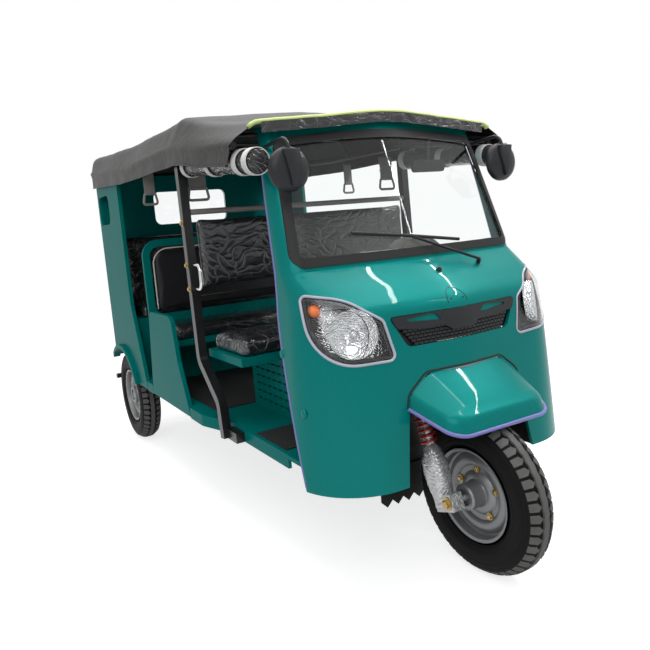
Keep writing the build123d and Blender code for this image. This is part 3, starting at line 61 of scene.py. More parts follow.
def add_node(tree: Tree, kind: str, feeds: dict,
             **settings) -> Sequence[Socket]:
    """Add a shader node to a tree.

    Args:
        tree: tree that takes the node.
        kind: type of the node, without the ShaderNode before it.
        feeds: names or numbers of inputs, each with a socket to link or a value to set.
        settings: properties of the node, which are set first.

    Returns:
        The node's outputs.
    """
    made = tree.nodes.new("ShaderNode" + kind)
    for key, value in settings.items():
        setattr(made, key, value)
    for key, value in feeds.items():
        if isinstance(value, Socket):
            tree.links.new(value, made.inputs[key])
        else:
            made.inputs[key].default_value = value
    return made.outputs


class Group:
    """One shader node group in the making. Its sockets are numbers, apart from those named Colour."""

    def __init__(self, name: str, inputs: dict[str, float], outputs: Sequence[str]) -> None:
        """Start a group.

        Args:
            name: name of the group.
            inputs: names of its inputs with their default values.
            outputs: names of its outputs.
        """
        self.tree = bpy.data.node_groups.new(name, "ShaderNodeTree")
        for way, names in (("INPUT", inputs), ("OUTPUT", outputs)):
            for socket in names:
                kind = "NodeSocketColor" if socket == "Colour" else "NodeSocketFloat"
                made = self.tree.interface.new_socket(name=socket, in_out=way, socket_type=kind)
                if way == "INPUT":
                    value = inputs[socket]
                    made.default_value = (value, value, value, 1) if socket == "Colour" else value
        self.inp = self.tree.nodes.new("NodeGroupInput").outputs
        self.out = self.tree.nodes.new("NodeGroupOutput").inputs
        self.place = self.node("TexCoord", {})["Object"]

    def node(self, kind: str, feeds: dict, **settings) -> Sequence[Socket]:
        """Add a node to the group and return its outputs."""
        return add_node(self.tree, kind, feeds, **settings)

    def math(self, operation: str, *terms: object) -> Socket:
        """Add a calculation with sockets or numbers and return its result."""
        return self.node("Math", dict(enumerate(terms)), operation=operation)[0]

    def tinted(self, gain: Socket) -> Socket:
        """Return the group's input colour times a gain."""
        return self.node("VectorMath", {0: self.inp["Colour"], "Scale": gain}, operation="SCALE")[0]

    def close(self, **results: Socket) -> Tree:
        """Link the results to the group's outputs and return its tree.

        Args:
            results: sockets by the names of the outputs.

        Returns:
            The finished group's tree.
        """
        for name, socket in results.items():
            self.tree.links.new(socket, self.out[name])
        return self.tree


class Groups:
    """Shader node groups that several finishes share, each built once."""

    _made: dict[str, Tree] = {}

    @classmethod
    def get(cls, name: str) -> Tree:
        """Return a group, which is built when it is first asked for.

        Args:
            name: name of the method that builds it.

        Returns:
            The group's tree.
        """
        if name not in cls._made:
            cls._made[name] = getattr(cls, name)()
        return cls._made[name]

    @staticmethod
    def mottle() -> Tree:
        """Slow change of colour and roughness over a surface, as handling and dust give.

        Returns:
            The group's tree.
        """
        inputs = {"Colour": 0.5, "Scale": 6.0, "Amount": 0.2, "Roughness": 0.4, "Spread": 0.1}
        group = Group("Mottle", inputs, ("Colour", "Roughness"))
        inp = group.inp
        feeds = {"Vector": group.place, "Scale": inp["Scale"], "Detail": 6, "Roughness": 0.62}
        spots = group.node("TexNoise", feeds)["Fac"]
        swing = group.node("MapRange", {"Value": spots, "To Min": -1})["Result"]
        tint = group.tinted(group.math("MULTIPLY_ADD", swing, inp["Amount"], 1))
        rough = group.math("MULTIPLY_ADD", swing, inp["Spread"], inp["Roughness"])
        return group.close(Colour=tint, Roughness=rough)

    @staticmethod
    def grain() -> Tree:
        """Height of a fine even grain, as cast metal, moulded plastic and rubber have.

        Returns:
            The group's tree.
        """
        group = Group("Grain", {"Scale": 400.0}, ("Height",))
        feeds = {"Vector": group.place, "Scale": group.inp["Scale"], "Detail": 3}
        return group.close(Height=group.node("TexNoise", feeds)["Fac"])

    @staticmethod
    def flakes() -> Tree:
        """Tiny bright flakes in a metallic paint.

        Returns:
            The group's tree.
        """
        group = Group("Flakes", {"Colour": 0.5, "Scale": 900.0, "Amount": 0.3}, ("Colour",))
        cells = group.node("TexVoronoi", {"Vector": group.place, "Scale": group.inp["Scale"]})
        red = group.node("SeparateColor", {"Color": cells["Color"]})["Red"]
        return group.close(Colour=group.tinted(group.math("MULTIPLY_ADD", red, group.inp["Amount"], 1)))

    @staticmethod
    def creases() -> Tree:
        """Height of sharp crossing creases, as thin plastic film and coated cloth show.

        Returns:
            The group's tree.
        """
        group = Group("Creases", {"Scale": 14.0, "Warp": 0.35}, ("Height",))
        bend = group.node("TexNoise", {"Vector": group.place, "Scale": 5})["Color"]
        drawn = group.node("VectorMath", {0: group.place, 1: (0.5, 1.0, 1.5)}, operation="MULTIPLY")[0]
        feeds = {0: bend, 1: group.inp["Warp"], 2: drawn}
        push = group.node("VectorMath", feeds, operation="MULTIPLY_ADD")[0]
        feeds = {"Vector": push, "Scale": group.inp["Scale"]}
        cells = group.node("TexVoronoi", feeds, feature="DISTANCE_TO_EDGE")["Distance"]
        fine = group.node("TexNoise", {"Vector": push, "Detail": 5, "Scale": 40})["Fac"]
        edge = group.math("POWER", cells, 0.35)
        return group.close(Height=group.math("MULTIPLY_ADD", fine, 0.35, edge))

    @staticmethod
    def weave() -> Tree:
        """Height of crossing ribs, as webbing and ribbed mats have.

        Returns:
            The group's tree.
        """
        group = Group("Weave", {"Scale": 120.0}, ("Height",))
        feeds = {"Vector": group.place, "Scale": group.inp["Scale"]}
        ribs = [group.node("TexWave", feeds, bands_direction=axis)["Fac"] for axis in ("X", "Y")]
        return group.close(Height=group.math("MAXIMUM", *ribs))


class Texture(Enum):
    """Which shared height a finish has on its surface."""

    NONE = "none"
    GRAIN = "grain"
    CREASES = "creases"
    WEAVE = "weave"


@dataclass(frozen=True)
class Finish:
    """One finish of the vehicle, made into a material when first used."""

    name: str
    colour: Colour
    roughness: float
    metallic: float = 0.0
    coat: float = 0.0
    coat_rough: float = 0.05
    transmission: float = 0.0
    ior: float = 1.5
    specular: float = 0.25
    sheen: float = 0.0
    mottle: float = 0.15
    mottle_scale: float = 5.0
    spread: float = 0.08
    flakes: float = 0.0
    texture: Texture = Texture.GRAIN
    texture_scale: float = 500.0
    bump: float = 0.15
    depth: float = 0.0006

    def material(self) -> bpy.types.Material:
        """Return the finish's material, building it once.

        Returns:
            The material, named after the finish.
        """
        name = "look_" + self.name
        made = bpy.data.materials.get(name)
        if made:
            return made
        made = bpy.data.materials.new(name)
        made.use_nodes = True
        tree = made.node_tree
        shader = tree.nodes["Principled BSDF"]
        values = {
            "Metallic": self.metallic,
            "Coat Weight": self.coat,
            "Coat Roughness": self.coat_rough,
            "Coat IOR": COAT_IOR,
            "Transmission Weight": self.transmission,
            "Sheen Weight": self.sheen,
            "IOR": self.ior,
            "Specular IOR Level": self.specular,
        }
        for socket, value in values.items():
            shader.inputs[socket].default_value = value
        self._colour(tree, shader)
        if self.texture is not Texture.NONE:
            self._height(tree, shader)
        return made

    def _colour(self, tree: Tree, shader: bpy.types.Node) -> None:
        """Wire the colour and roughness that change over the surface.

        Args:
            tree: node tree of the material.
            shader: its Principled shader.
        """
        feeds = {
            "Colour": (*self.colour, 1),
            "Scale": self.mottle_scale,
            "Amount": self.mottle,
            "Roughness": self.roughness,
            "Spread": self.spread,
        }
        mottle = add_node(tree, "Group", feeds, node_tree=Groups.get("mottle"))
        colour = mottle["Colour"]
        if self.flakes:
            feeds = {"Amount": self.flakes, "Colour": colour}
            colour = add_node(tree, "Group", feeds, node_tree=Groups.get("flakes"))["Colour"]
        tree.links.new(colour, shader.inputs["Base Color"])
        tree.links.new(mottle["Roughness"], shader.inputs["Roughness"])

    def _height(self, tree: Tree, shader: bpy.types.Node) -> None:
        """Wire the finish's texture into a bump.

        Args:
            tree: node tree of the material.
            shader: its Principled shader.
        """
        group = Groups.get(self.texture.value)
        height = add_node(tree, "Group", {"Scale": self.texture_scale}, node_tree=group)["Height"]
        feeds = {"Strength": self.bump, "Distance": self.depth, "Height": height}
        normal = add_node(tree, "Bump", feeds)["Normal"]
        tree.links.new(normal, shader.inputs["Normal"])
        if self.texture is Texture.CREASES:
            tree.links.new(normal, shader.inputs["Coat Normal"])


TEAL = Finish("teal_metallic", (0.0, 0.165, 0.152), 0.34, 0.2, 0.3, 0.02, ior=1.12, mottle=0.05, flakes=0.3,
              bump=0.02)
# Darker copy of the teal paint for the side and inner panels: its darker colour is painted shade, and its
# weaker coat and higher roughness dull the grazing reflections.
TEAL_SHADED_SATIN = Finish("teal_satin_painted_shade", (0.0, 0.15, 0.138), 0.42, 0.1, 0.08, 0.1, ior=1.08, mottle=0.1,
                    flakes=0.25, bump=0.05)
BLACK_STEEL = Finish("black_steel", (0.012, 0.012, 0.013), 0.36, 0.2, 0.4, 0.2, mottle=0.3, bump=0.1)
CAST = Finish("engine_cast", (0.13, 0.13, 0.13), 0.55, 0.7, mottle=0.3, texture_scale=300, bump=0.4)
GASKET = Finish("pale_gasket", (0.5, 0.51, 0.6), 0.4, mottle=0.08, bump=0.08)
RUBBER = Finish("black_rubber", (0.012, 0.012, 0.013), 0.5, mottle=0.25, bump=0.2)
MAT = Finish("ribbed_mat", (0.02, 0.02, 0.02), 0.6, texture=Texture.WEAVE, texture_scale=60, bump=0.5,
             depth=0.002)
PLASTIC = Finish("black_plastic", (0.017, 0.018, 0.02), 0.4, mottle=0.15, texture_scale=900, bump=0.2)
GREY = Finish("grey_plastic", (0.22, 0.21, 0.2), 0.55, mottle=0.1, texture_scale=700, bump=0.25)
GLASS = Finish("clear_glass", (0.94, 0.97, 0.965), 0.0, transmission=1.0, ior=1.3, specular=0.5,
               mottle=0.01, spread=0.0, texture=Texture.NONE)
LENS = Finish("lamp_glass", (0.97, 0.98, 0.98), 0.0, transmission=1.0, ior=1.3, specular=0.5, mottle=0.01,
              spread=0.0, texture=Texture.NONE)
BRIGHT = Finish("lamp_bright", (0.5, 0.51, 0.52), 0.14, 1.0, mottle=0.5, mottle_scale=40,
                texture=Texture.CREASES, texture_scale=70, bump=0.8, depth=0.004)
AMBER = Finish("amber_bulb", (0.85, 0.16, 0.01), 0.15, coat=0.6, mottle=0.05, texture=Texture.NONE)
RED_LENS = Finish("red_lens", (0.42, 0.008, 0.008), 0.12, coat=1.0, texture=Texture.WEAVE, texture_scale=90,
                  depth=0.001)
CHROME = Finish("chrome", (0.56, 0.56, 0.57), 0.1, 1.0, mottle=0.05, texture=Texture.NONE)
RED = Finish("red_spring", (0.42, 0.012, 0.012), 0.3, 0.1, 0.7, bump=0.05)
VINYL = Finish("seat_vinyl", (0.014, 0.014, 0.016), 0.42, sheen=0.05, mottle=0.25, texture_scale=700,
               bump=0.35)
FILMED = Finish("filmed_vinyl", (0.014, 0.015, 0.017), 0.3, coat=1.0, coat_rough=0.05, specular=0.6,
                mottle=0.3, texture=Texture.CREASES, texture_scale=17, bump=0.8, depth=0.006)
WRAP = Finish("film_wrap", (0.48, 0.49, 0.5), 0.28, 0.5, 1.0, 0.08, mottle=0.3, mottle_scale=30,
              texture=Texture.CREASES, texture_scale=45, bump=0.8, depth=0.004)
CANOPY = Finish("canopy_cloth", (0.0135, 0.0118, 0.0108), 0.42, specular=0.22, mottle=0.18,
                texture=Texture.CREASES, texture_scale=9, bump=0.25, depth=0.006)
CURTAIN = Finish("curtain_film", (0.03, 0.03, 0.032), 0.25, coat=0.8, mottle=0.4, texture=Texture.CREASES,
                 texture_scale=26, bump=0.8, depth=0.006)
WHITE = Finish("white_webbing", (0.78, 0.78, 0.76), 0.7, texture=Texture.WEAVE, texture_scale=150,
               depth=0.001)
LIME = Finish("lime_strip", (0.66, 0.8, 0.3), 0.5, mottle=0.08, texture=Texture.WEAVE, texture_scale=120)
LILAC = Finish("lilac_edging", (0.2, 0.2, 0.5), 0.38, mottle=0.08, bump=0.08)
SIDEWALL = Finish("tyre_sidewall", (0.006, 0.006, 0.0065), 0.6, specular=0.1, mottle=0.3, texture_scale=700,
                  bump=0.3)
TREAD = Finish("tyre_tread", (0.12, 0.118, 0.115), 0.8, mottle=0.3, mottle_scale=20, texture_scale=500,
               bump=0.4)
RIM = Finish("silver_rim", (0.22, 0.225, 0.23), 0.38, 0.5, 0.2, 0.2, mottle=0.2, mottle_scale=9, bump=0.12)
BRASS = Finish("yellow_zinc", (0.4, 0.3, 0.13), 0.3, 1.0, mottle=0.3, mottle_scale=60, bump=0.1)
MIRROR = Finish("mirror_glass", (0.9, 0.9, 0.9), 0.02, 1.0, mottle=0.01, spread=0.0, texture=Texture.NONE)


# Mesh helpers


def placed(name: str, data: bpy.types.ID) -> Obj:
    """Make an object from its data and link it to the scene.

    Args:
        name: name of the object.
        data: its mesh, camera or light.

    Returns:
        The new object.
    """
    made = bpy.data.objects.new(name, data)
    bpy.context.scene.collection.objects.link(made)
    return made


def grid_faces(rows: int, wide: int, looped: bool = False, around: bool = False,
               capped: bool = False) -> list[tuple]:
    """List the faces between rows of points.

    Args:
        rows: number of rows.
        wide: points in a row.
        looped: whether the last row meets the first.
        around: whether each row closes on itself.
        capped: whether one face closes the first row and one the last.

    Returns:
        Tuples of point numbers, counted row by row.
    """
    faces = []
    for r in range(rows if looped else rows - 1):
        s = (r + 1) % rows
        for c in range(wide if around else wide - 1):
            n = (c + 1) % wide
            faces.append((r * wide + c, r * wide + n, s * wide + n, s * wide + c))
    if capped:
        faces += [tuple(range(wide - 1, -1, -1)), tuple(range((rows - 1) * wide, rows * wide))]
    return faces


def mesh_piece(name: str, verts: Iterable, faces: Iterable, smooth: bool = True) -> Obj:
    """Make a mesh object from points and faces.

    Args:
        name: name of the piece.
        verts: points in metres.
        faces: tuples of point numbers.
        smooth: whether its faces are shaded smooth.

    Returns:
        The new object, linked to the scene.
    """
    mesh = bpy.data.meshes.new(name)
    mesh.from_pydata([tuple(v) for v in verts], [], [tuple(f) for f in faces])
    mesh.validate()
    work = bmesh.new()
    work.from_mesh(mesh)
    bmesh.ops.recalc_face_normals(work, faces=work.faces)
    work.to_mesh(mesh)
    work.free()
    mesh.polygons.foreach_set("use_smooth", [smooth] * len(mesh.polygons))
    return placed(name, mesh)


def bake(obj: Obj) -> Obj:
    """Apply all of an object's modifiers to its mesh.

    Args:
        obj: object with modifiers.

    Returns:
        The same object, with none.
    """
    view = bpy.context.evaluated_depsgraph_get()
    view.update()
    mesh = bpy.data.meshes.new_from_object(obj.evaluated_get(view))
    obj.modifiers.clear()
    obj.data = mesh
    return obj


def sharpen(obj: Obj, degrees: float) -> Obj:
    """Shade smooth, with edges over an angle left sharp.

    Args:
        obj: object to shade.
        degrees: largest angle that is shaded smooth.

    Returns:
        The same object.
    """
    obj.data.polygons.foreach_set("use_smooth", [True] * len(obj.data.polygons))
    obj.data.set_sharp_from_angle(angle=math.radians(degrees))
    return obj


def modify(obj: Obj, kind: str, **values) -> Obj:
    """Add one modifier with its values and apply it.

    Args:
        obj: object to change.
        kind: type of the modifier.
        values: its settings.

    Returns:
        The same object.
    """
    made = obj.modifiers.new(kind.lower(), kind)
    for key, value in values.items():
        setattr(made, key, value)
    return bake(obj)


def combine(obj: Obj, other: Obj, operation: str) -> Obj:
    """Apply a Boolean with another object, which is then removed.

    Args:
        obj: object to change.
        other: object that cuts or is added.
        operation: UNION, DIFFERENCE or INTERSECT.

    Returns:
        The changed object.
    """
    modify(obj, "BOOLEAN", operation=operation, object=other, solver="EXACT")
    bpy.data.objects.remove(other)
    return obj


def join(name: str, pieces: Sequence[Obj]) -> Obj:
    """Join mesh objects into one new object and remove them.

    Args:
        name: name of the piece.
        pieces: objects to join.

    Returns:
        The new object.
    """
    work = bmesh.new()
    for piece in pieces:
        copy = piece.data.copy()
        copy.transform(piece.matrix_world)
        work.from_mesh(copy)
    mesh = bpy.data.meshes.new(name)
    work.to_mesh(mesh)
    work.free()
    for piece in pieces:
        bpy.data.objects.remove(piece)
    return placed(name, mesh)


def prism(name: str, outline: Sequence[Vector], run: Vector) -> Obj:
    """Make a closed prism from a flat outline, extruded along a vector."""
    verts = list(outline) + [point + run for point in outline]
    return mesh_piece(name, verts, grid_faces(2, len(outline), around=True, capped=True), smooth=False)


def tube(name: str, path: Sequence, radius: float, closed: bool = False, flat: float = 1.0, sides: int = 12,
         up: Vector = Z_AXIS) -> Obj:
    """Sweep a round or flattened section along points.

    Args:
        name: name of the piece.
        path: points in metres.
        radius: half the section's width.
        closed: whether the path is a loop.
        flat: section's height over its width.
        sides: corners of the section.
        up: direction that the section's height leans to.

    Returns:
        The swept mesh, with closed ends where the path is open.
    """
    points = [Vector(p) for p in path]
    count = len(points)
    verts = []
    for i, point in enumerate(points):
        before = points[i - 1] if closed or i else point
        after = points[(i + 1) % count] if closed or i < count - 1 else point
        along = (after - before).normalized()
        across = along.cross(up)
        across = across.normalized() if across.length > 1e-6 else along.orthogonal().normalized()
        high = across.cross(along)
        for k in range(sides):
            turn = 2 * math.pi * k / sides
            verts.append(point + across * (radius * math.cos(turn)) + high * (radius * flat * math.sin(turn)))
    return mesh_piece(name, verts, grid_faces(count, sides, closed, around=True, capped=not closed))


def revolve(name: str, profile: Sequence[tuple[float, float]], at: Vector, axis: Vector, segments: int = 64,
            closed: bool = True) -> Obj:
    """Turn a profile about an axis.

    Args:
        name: name of the piece.
        profile: (along the axis, radius) points in metres.
        at: a point on the axis.
        axis: its direction.
        segments: steps round.
        closed: whether the profile is a loop.

    Returns:
        The turned mesh.
    """
    axis = axis.normalized()
    side = axis.orthogonal().normalized()
    other = axis.cross(side)
    verts = []
    for s in range(segments):
        turn = 2 * math.pi * s / segments
        out = side * math.cos(turn) + other * math.sin(turn)
        verts += [at + axis * a + out * r for a, r in profile]
    return mesh_piece(name, verts, grid_faces(segments, len(profile), looped=True, around=closed))


def bolt(name: str, at: Vector, axis: Vector, size: float, washer: float = 1.5) -> Obj:
    """Make a hexagon bolt head with a chamfer on a round washer.

    Args:
        name: name of the piece.
        at: point under the washer.
        axis: direction that the head faces.
        size: radius of the hexagon.
        washer: radius of the washer over that of the hexagon.

    Returns:
        The head and its washer in one mesh.
    """
    axis = axis.normalized()
    head = [(0.25, 0), (0.25, 1), (0.95, 1), (1.1, 0.8), (1.1, 0)]
    disc = [(0, 0), (0, washer), (0.22, washer), (0.28, 0)]
    hexagon = revolve(name + "_hex", [(a * size, r * size) for a, r in head], at, axis, 6, closed=False)
    plate = revolve(name + "_plate", [(a * size, r * size) for a, r in disc], at, axis, 20, closed=False)
    return sharpen(join(name, [hexagon, plate]), 30)


def fillet(points: Sequence[Vector], radii: Sequence[float], steps: int, closed: bool) -> list[Vector]:
    """Round the corners of a polyline with arcs.

    Args:
        points: corners in order.
        radii: radius at each corner; the ends of an open line are left.
        steps: arc steps per corner.
        closed: whether the line is a loop.

    Returns:
        Points along the rounded line.
    """
    made = []
    count = len(points)
    for i, (corner, radius) in enumerate(zip(points, radii)):
        if not closed and i in (0, count - 1):
            made.append(corner.copy())
            continue
        to = (points[i - 1] - corner).normalized()
        fro = (points[(i + 1) % count] - corner).normalized()
        half = to.angle(fro) / 2
        reach = radius / math.tan(half)
        centre = corner + (to + fro).normalized() * (radius / math.sin(half))
        start, end = corner + to * reach - centre, corner + fro * reach - centre
        sweep = start.angle(end)
        whole = max(math.sin(sweep), 1e-9)
        for s in range(steps + 1):
            t = s / steps
            made.append(centre + (start * math.sin((1 - t) * sweep) + end * math.sin(t * sweep)) / whole)
    return made


def rounded(corners: Iterable[tuple[float, float]], radii: Sequence[float], steps: int,
            closed: bool = True) -> list[tuple[float, float]]:
    """Round the corners of a flat line of pairs with arcs."""
    return [(p.x, p.y) for p in fillet([Vector((a, b, 0)) for a, b in corners], radii, steps, closed)]


def spread(points: Sequence[Vector], step: float) -> list[Vector]:
    """Add points so that no run is longer than a step.

    Args:
        points: corners in order.
        step: longest run in metres.

    Returns:
        The points with those between them.
    """
    made = [points[0].copy()]
    for a, b in zip(points, points[1:]):
        parts = max(1, math.ceil((b - a).length / step))
        made += [a.lerp(b, k / parts) for k in range(1, parts + 1)]
    return made


def wobble(point: Vector, scale: float, seed: float) -> float:
    """Smooth noise from -1 to 1 at a point, the same in each run."""
    return noise.noise(point * scale + Vector((seed, 3.1 * seed, -seed)))


@dataclass
class Assembly:
    """A sub-assembly whose pieces ride on one body."""

    body: str = "body"

    def dress(self, piece: Obj, finish: Finish, slot: str, *nodes: str) -> Obj:
        """Give a piece its finish and its body, and hide the nodes it stands for.

        Args:
            piece: object to dress.
            finish: its finish.
            slot: slot in the record; not used.
            nodes: nodes of the frame that it stands for.

        Returns:
            The same object.
        """
        piece.data.materials.clear()
        piece.data.materials.append(finish.material())
        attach(piece, self.body)
        if nodes:
            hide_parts(*nodes)
        LOG.info("%s in %s", piece.name, finish.name)
        return piece


def paint(node: str, finish: Finish, degrees: float = 28) -> None:
    """Give a node of the frame its finish and smooth its round faces.

    Args:
        node: name of the node.
        finish: its finish.
        degrees: largest angle that is shaded smooth.
    """
    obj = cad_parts[node]
    obj.data.materials.clear()
    obj.data.materials.append(finish.material())
    sharpen(obj, degrees)


def mirrored(piece: Obj) -> Obj:
    """Copy a piece to the other side of the vehicle's middle plane.

    Args:
        piece: object to copy.

    Returns:
        The copy.
    """
    mesh = piece.data.copy()
    mesh.transform(Matrix.Scale(-1, 4, (1, 0, 0)))
    mesh.flip_normals()
    return placed(piece.name + "_other", mesh)


def paired(name: str, piece: Obj) -> Obj:
    """Join a piece with its mirror image."""
    return join(name, [piece, mirrored(piece)])


def inset_loop(loop: Sequence[Vector], depth: float) -> list[Vector]:
    """Move a flat anticlockwise loop in X and Y inwards by a depth.

    Args:
        loop: points in order.
        depth: distance in metres.

    Returns:
        The moved points.
    """
    made = []
    for i, point in enumerate(loop):
        along = (loop[(i + 1) % len(loop)] - loop[i - 1]).normalized()
        made.append(point + Vector((-along.y, along.x, 0)) * depth)
    return made


class Ease:
    """Smooth curve through points that doesn't overshoot them."""

    def __init__(self, xs: Sequence[float], ys: Sequence[float]) -> None:
        """Work out the slope at each point.

        Args:
            xs: rising places of the points.
            ys: their values.
        """
        self.xs, self.ys = list(xs), list(ys)
        steps = [b - a for a, b in zip(xs, xs[1:])]
        grades = [(b - a) / h for a, b, h in zip(ys, ys[1:], steps)]
        self.slopes = [grades[0]]
        for (g, k), (h, n) in zip(zip(grades, grades[1:]), zip(steps, steps[1:])):
            u, v = 2 * n + h, n + 2 * h
            self.slopes.append((u + v) / (u / g + v / k) if g * k > 0 else 0.0)
        self.slopes.append(grades[-1])

    def __call__(self, x: float) -> float:
        """Return the curve's value at x, which is held to its ends.

        Args:
            x: place on the curve.

        Returns:
            The value there.
        """
        x = min(max(x, self.xs[0]), self.xs[-1])
        i = next(k for k in range(len(self.xs) - 1) if x <= self.xs[k + 1])
        h = self.xs[i + 1] - self.xs[i]
        t = (x - self.xs[i]) / h
        low = (1 + 2 * t) * (1 - t) ** 2 * self.ys[i] + t * (1 - t) ** 2 * h * self.slopes[i]
        return low + t * t * (3 - 2 * t) * self.ys[i + 1] + t * t * (t - 1) * h * self.slopes[i + 1]


# Front of the body

# Parts of each straight run in a cowl outline, by the arc point that the run starts from
STRAIGHT_PARTS = {0: 10, 17: 8, 34: 8, 51: 10}


@dataclass
class Cowl(Assembly):
    """Front shell, on whose skin the lamps, the grille and the seams lie.

    Each row is height, half width, corner Y, nose Y and corner radius.
    """

    rows: tuple = (
        (0.360, 0.562, -1.160, -1.166, 0.245),
        (0.800, 0.546, -1.092, -1.146, 0.190),
        (0.920, 0.536, -1.076, -1.128, 0.170),
        (0.985, 0.526, -1.012, -1.066, 0.130),
        (1.065, 0.516, -0.906, -0.950, 0.075),
    )
    head: tuple = (1.590, 0.481, -0.722, -0.786, 0.075)
    wall: float = 0.012
    nose_r: float = 0.6
    row_step: float = 0.0141
    row_count: int = 51
    back: float = -0.56
    lamp_at: tuple = (-0.385, -1.042, 0.875)
    lamp_in: tuple = (0.8, -0.6, 0.0)
    lamp_out: tuple = (-0.6, -0.8, 0.1)
    lamp_corners: tuple = (
        (-0.150, 0.116, 0.014),
        (-0.112, -0.112, 0.160),
        (0.137, -0.104, 0.016),
        (0.104, 0.020, 0.026),
        (-0.010, 0.092, 0.250),
    )
    opening: tuple = ((0.284, 0.36), (0.246, 0.606), (0.236, 0.65), (0.16, 0.706))
    screen: tuple = ((0.45, 1.516), (0.496, 1.075))
    rear_at: tuple = (0, -0.722, 1.45)
    rear_lean: float = 13.0
    edge_r: float = 0.0085

    def __post_init__(self) -> None:
        """Make the curves between the rows and the skin to cast points on."""
        columns = list(zip(*self.rows))
        self.curves = [Ease(columns[0], column) for column in columns[1:]]
        grid = [self.outline(z, 0) for z in self.heights() + [1.12, 1.3, 1.45, 1.59]]
        faces = grid_faces(len(grid), len(grid[0]))
        self.skin = BVHTree.FromPolygons([p for row in grid for p in row], faces)
        self.lamp_x = Vector(self.lamp_in).normalized()
        self.lamp_n = Vector(self.lamp_out).normalized()
        self.lamp_y = self.lamp_n.cross(self.lamp_x)

    def heights(self) -> list[float]:
        """Return the heights of the curved part's rows, from the bottom up."""
        return [self.rows[0][0] + self.row_step * k for k in range(self.row_count)]

    def outline(self, z: float, inset: float) -> list[Vector]:
        """Return the plan outline at one height, moved inwards by inset.

        Args:
            z: height.
            inset: distance inwards, less than zero for outwards.

        Returns:
            Points from the right rear edge round the nose to the left.
        """
        low, top = self.rows[-1], self.head
        if z <= low[0]:
            half, corner, nose, radius = (curve(z) for curve in self.curves)
        else:
            t = (z - low[0]) / (top[0] - low[0])
            half, corner, nose, radius = (a + t * (b - a) for a, b in zip(low[1:], top[1:]))
        x = half - inset
        path = [(-x, self.back), (-x, corner + inset), (0, nose + inset), (x, corner + inset),
                (x, self.back)]
        bend = radius - inset
        arcs = fillet([Vector((a, b, z)) for a, b in path], [0, bend, self.nose_r, bend, 0], 16, False)
        made = []
        for i, point in enumerate(arcs):
            made.append(point)
            parts = STRAIGHT_PARTS.get(i, 1)
            made += [point.lerp(arcs[i + 1], k / parts) for k in range(1, parts)]
        return made

    def shell(self, name: str, heights: Sequence[float], out: float, inn: float) -> Obj:
        """Make the closed shell between two insets of the skin.

        Args:
            name: name of the piece.
            heights: rows from the bottom up.
            out: inset of its outer face, less than zero where it stands proud.
            inn: inset of its inner face.

        Returns:
            The shell.
        """
        grid = [self.outline(z, out) for z in heights] + [self.outline(z, inn) for z in heights]
        rows, wide = len(heights), len(grid[0])
        base = rows * wide
        faces = []
        for r in range(rows - 1):
            for a in range(r * wide, r * wide + wide - 1):
                faces += [(a, a + 1, a + wide + 1, a + wide)]
                faces += [(base + a, base + a + wide, base + a + wide + 1, base + a + 1)]
            for a in (r * wide, r * wide + wide - 1):
                faces += [(a, a + wide, base + a + wide, base + a)]
        for row in (0, rows - 1):
            faces += [(a, base + a, base + a + 1, a + 1) for a in range(row * wide, row * wide + wide - 1)]
        return mesh_piece(name, [p for row in grid for p in row], faces)

    def patch(self, name: str, loop: Sequence[Vector], run: Vector, out: float, inn: float,
              low: float = 0.7, high: float = 1.06) -> Obj:
        """Cut the piece inside a prism out of a shell that follows the skin.

        Args:
            name: name of the piece.
            loop: outline of the prism.
            run: length and direction of the prism.
            out: inset of the outer face.
            inn: inset of the inner face.
            low: lowest row of the shell.
            high: highest row of the shell.

        Returns:
            The piece.
        """
        count = math.ceil((high - low) / 0.01)
        made = self.shell(name, [low + (high - low) * k / count for k in range(count + 1)], out, inn)
        return combine(made, prism(name + "_cut", loop, run), "INTERSECT")

    def lamp_loop(self, inset: float) -> list[Vector]:
        """Return the right lamp's outline behind its plane, moved inwards by inset.

        Args:
            inset: distance inwards, less than zero for outwards.

        Returns:
            Points of the loop, in order.
        """
        flat = [Vector((a, b, 0)) for a, b, _ in self.lamp_corners]
        loop = fillet(flat, [c[2] for c in self.lamp_corners], 14, True)
        loop = spread(loop + loop[:1], 0.012)[:-1]
        start = Vector(self.lamp_at) - self.lamp_n * 0.14
        return [start + self.lamp_x * p.x + self.lamp_y * p.y for p in inset_loop(loop, inset)]

    def on_lamp(self, across: float, up: float) -> Vector:
        """Return the skin's point under a place on the right lamp's plane."""
        start = Vector(self.lamp_at) + self.lamp_x * across + self.lamp_y * up + self.lamp_n * 0.2
        return self.skin.ray_cast(start, -self.lamp_n)[0]

    def front(self, x: float, z: float) -> Vector:
        """Return the skin's point seen from straight ahead at X and Z."""
        return self.skin.ray_cast(Vector((x, -2, z)), Y_AXIS)[0]

    def front_loop(self, points: Sequence[tuple[float, float]]) -> list[Vector]:
        """Turn points in X and Z into a loop ahead of the cowl."""
        return [Vector((x, -1.5, z)) for x, z in points]

    def screen_points(self) -> list[tuple[float, float]]:
        """Return the windscreen's outline in X and Z.

        Returns:
            Pairs of X and Z, in order.
        """
        (top_x, top_z), (low_x, low_z) = self.screen
        rise, bend, flat = 0.026, 0.045, 0.4
        crown = [(-top_x + 2 * top_x * k / 12, top_z + rise * (1 - (k / 6 - 1) ** 2)) for k in range(1, 12)]
        corners = [(low_x, low_z), (top_x, top_z)] + crown[::-1] + [(-top_x, top_z), (-low_x, low_z)]
        return rounded(corners, [bend, bend] + [flat] * len(crown) + [bend, bend], 6)

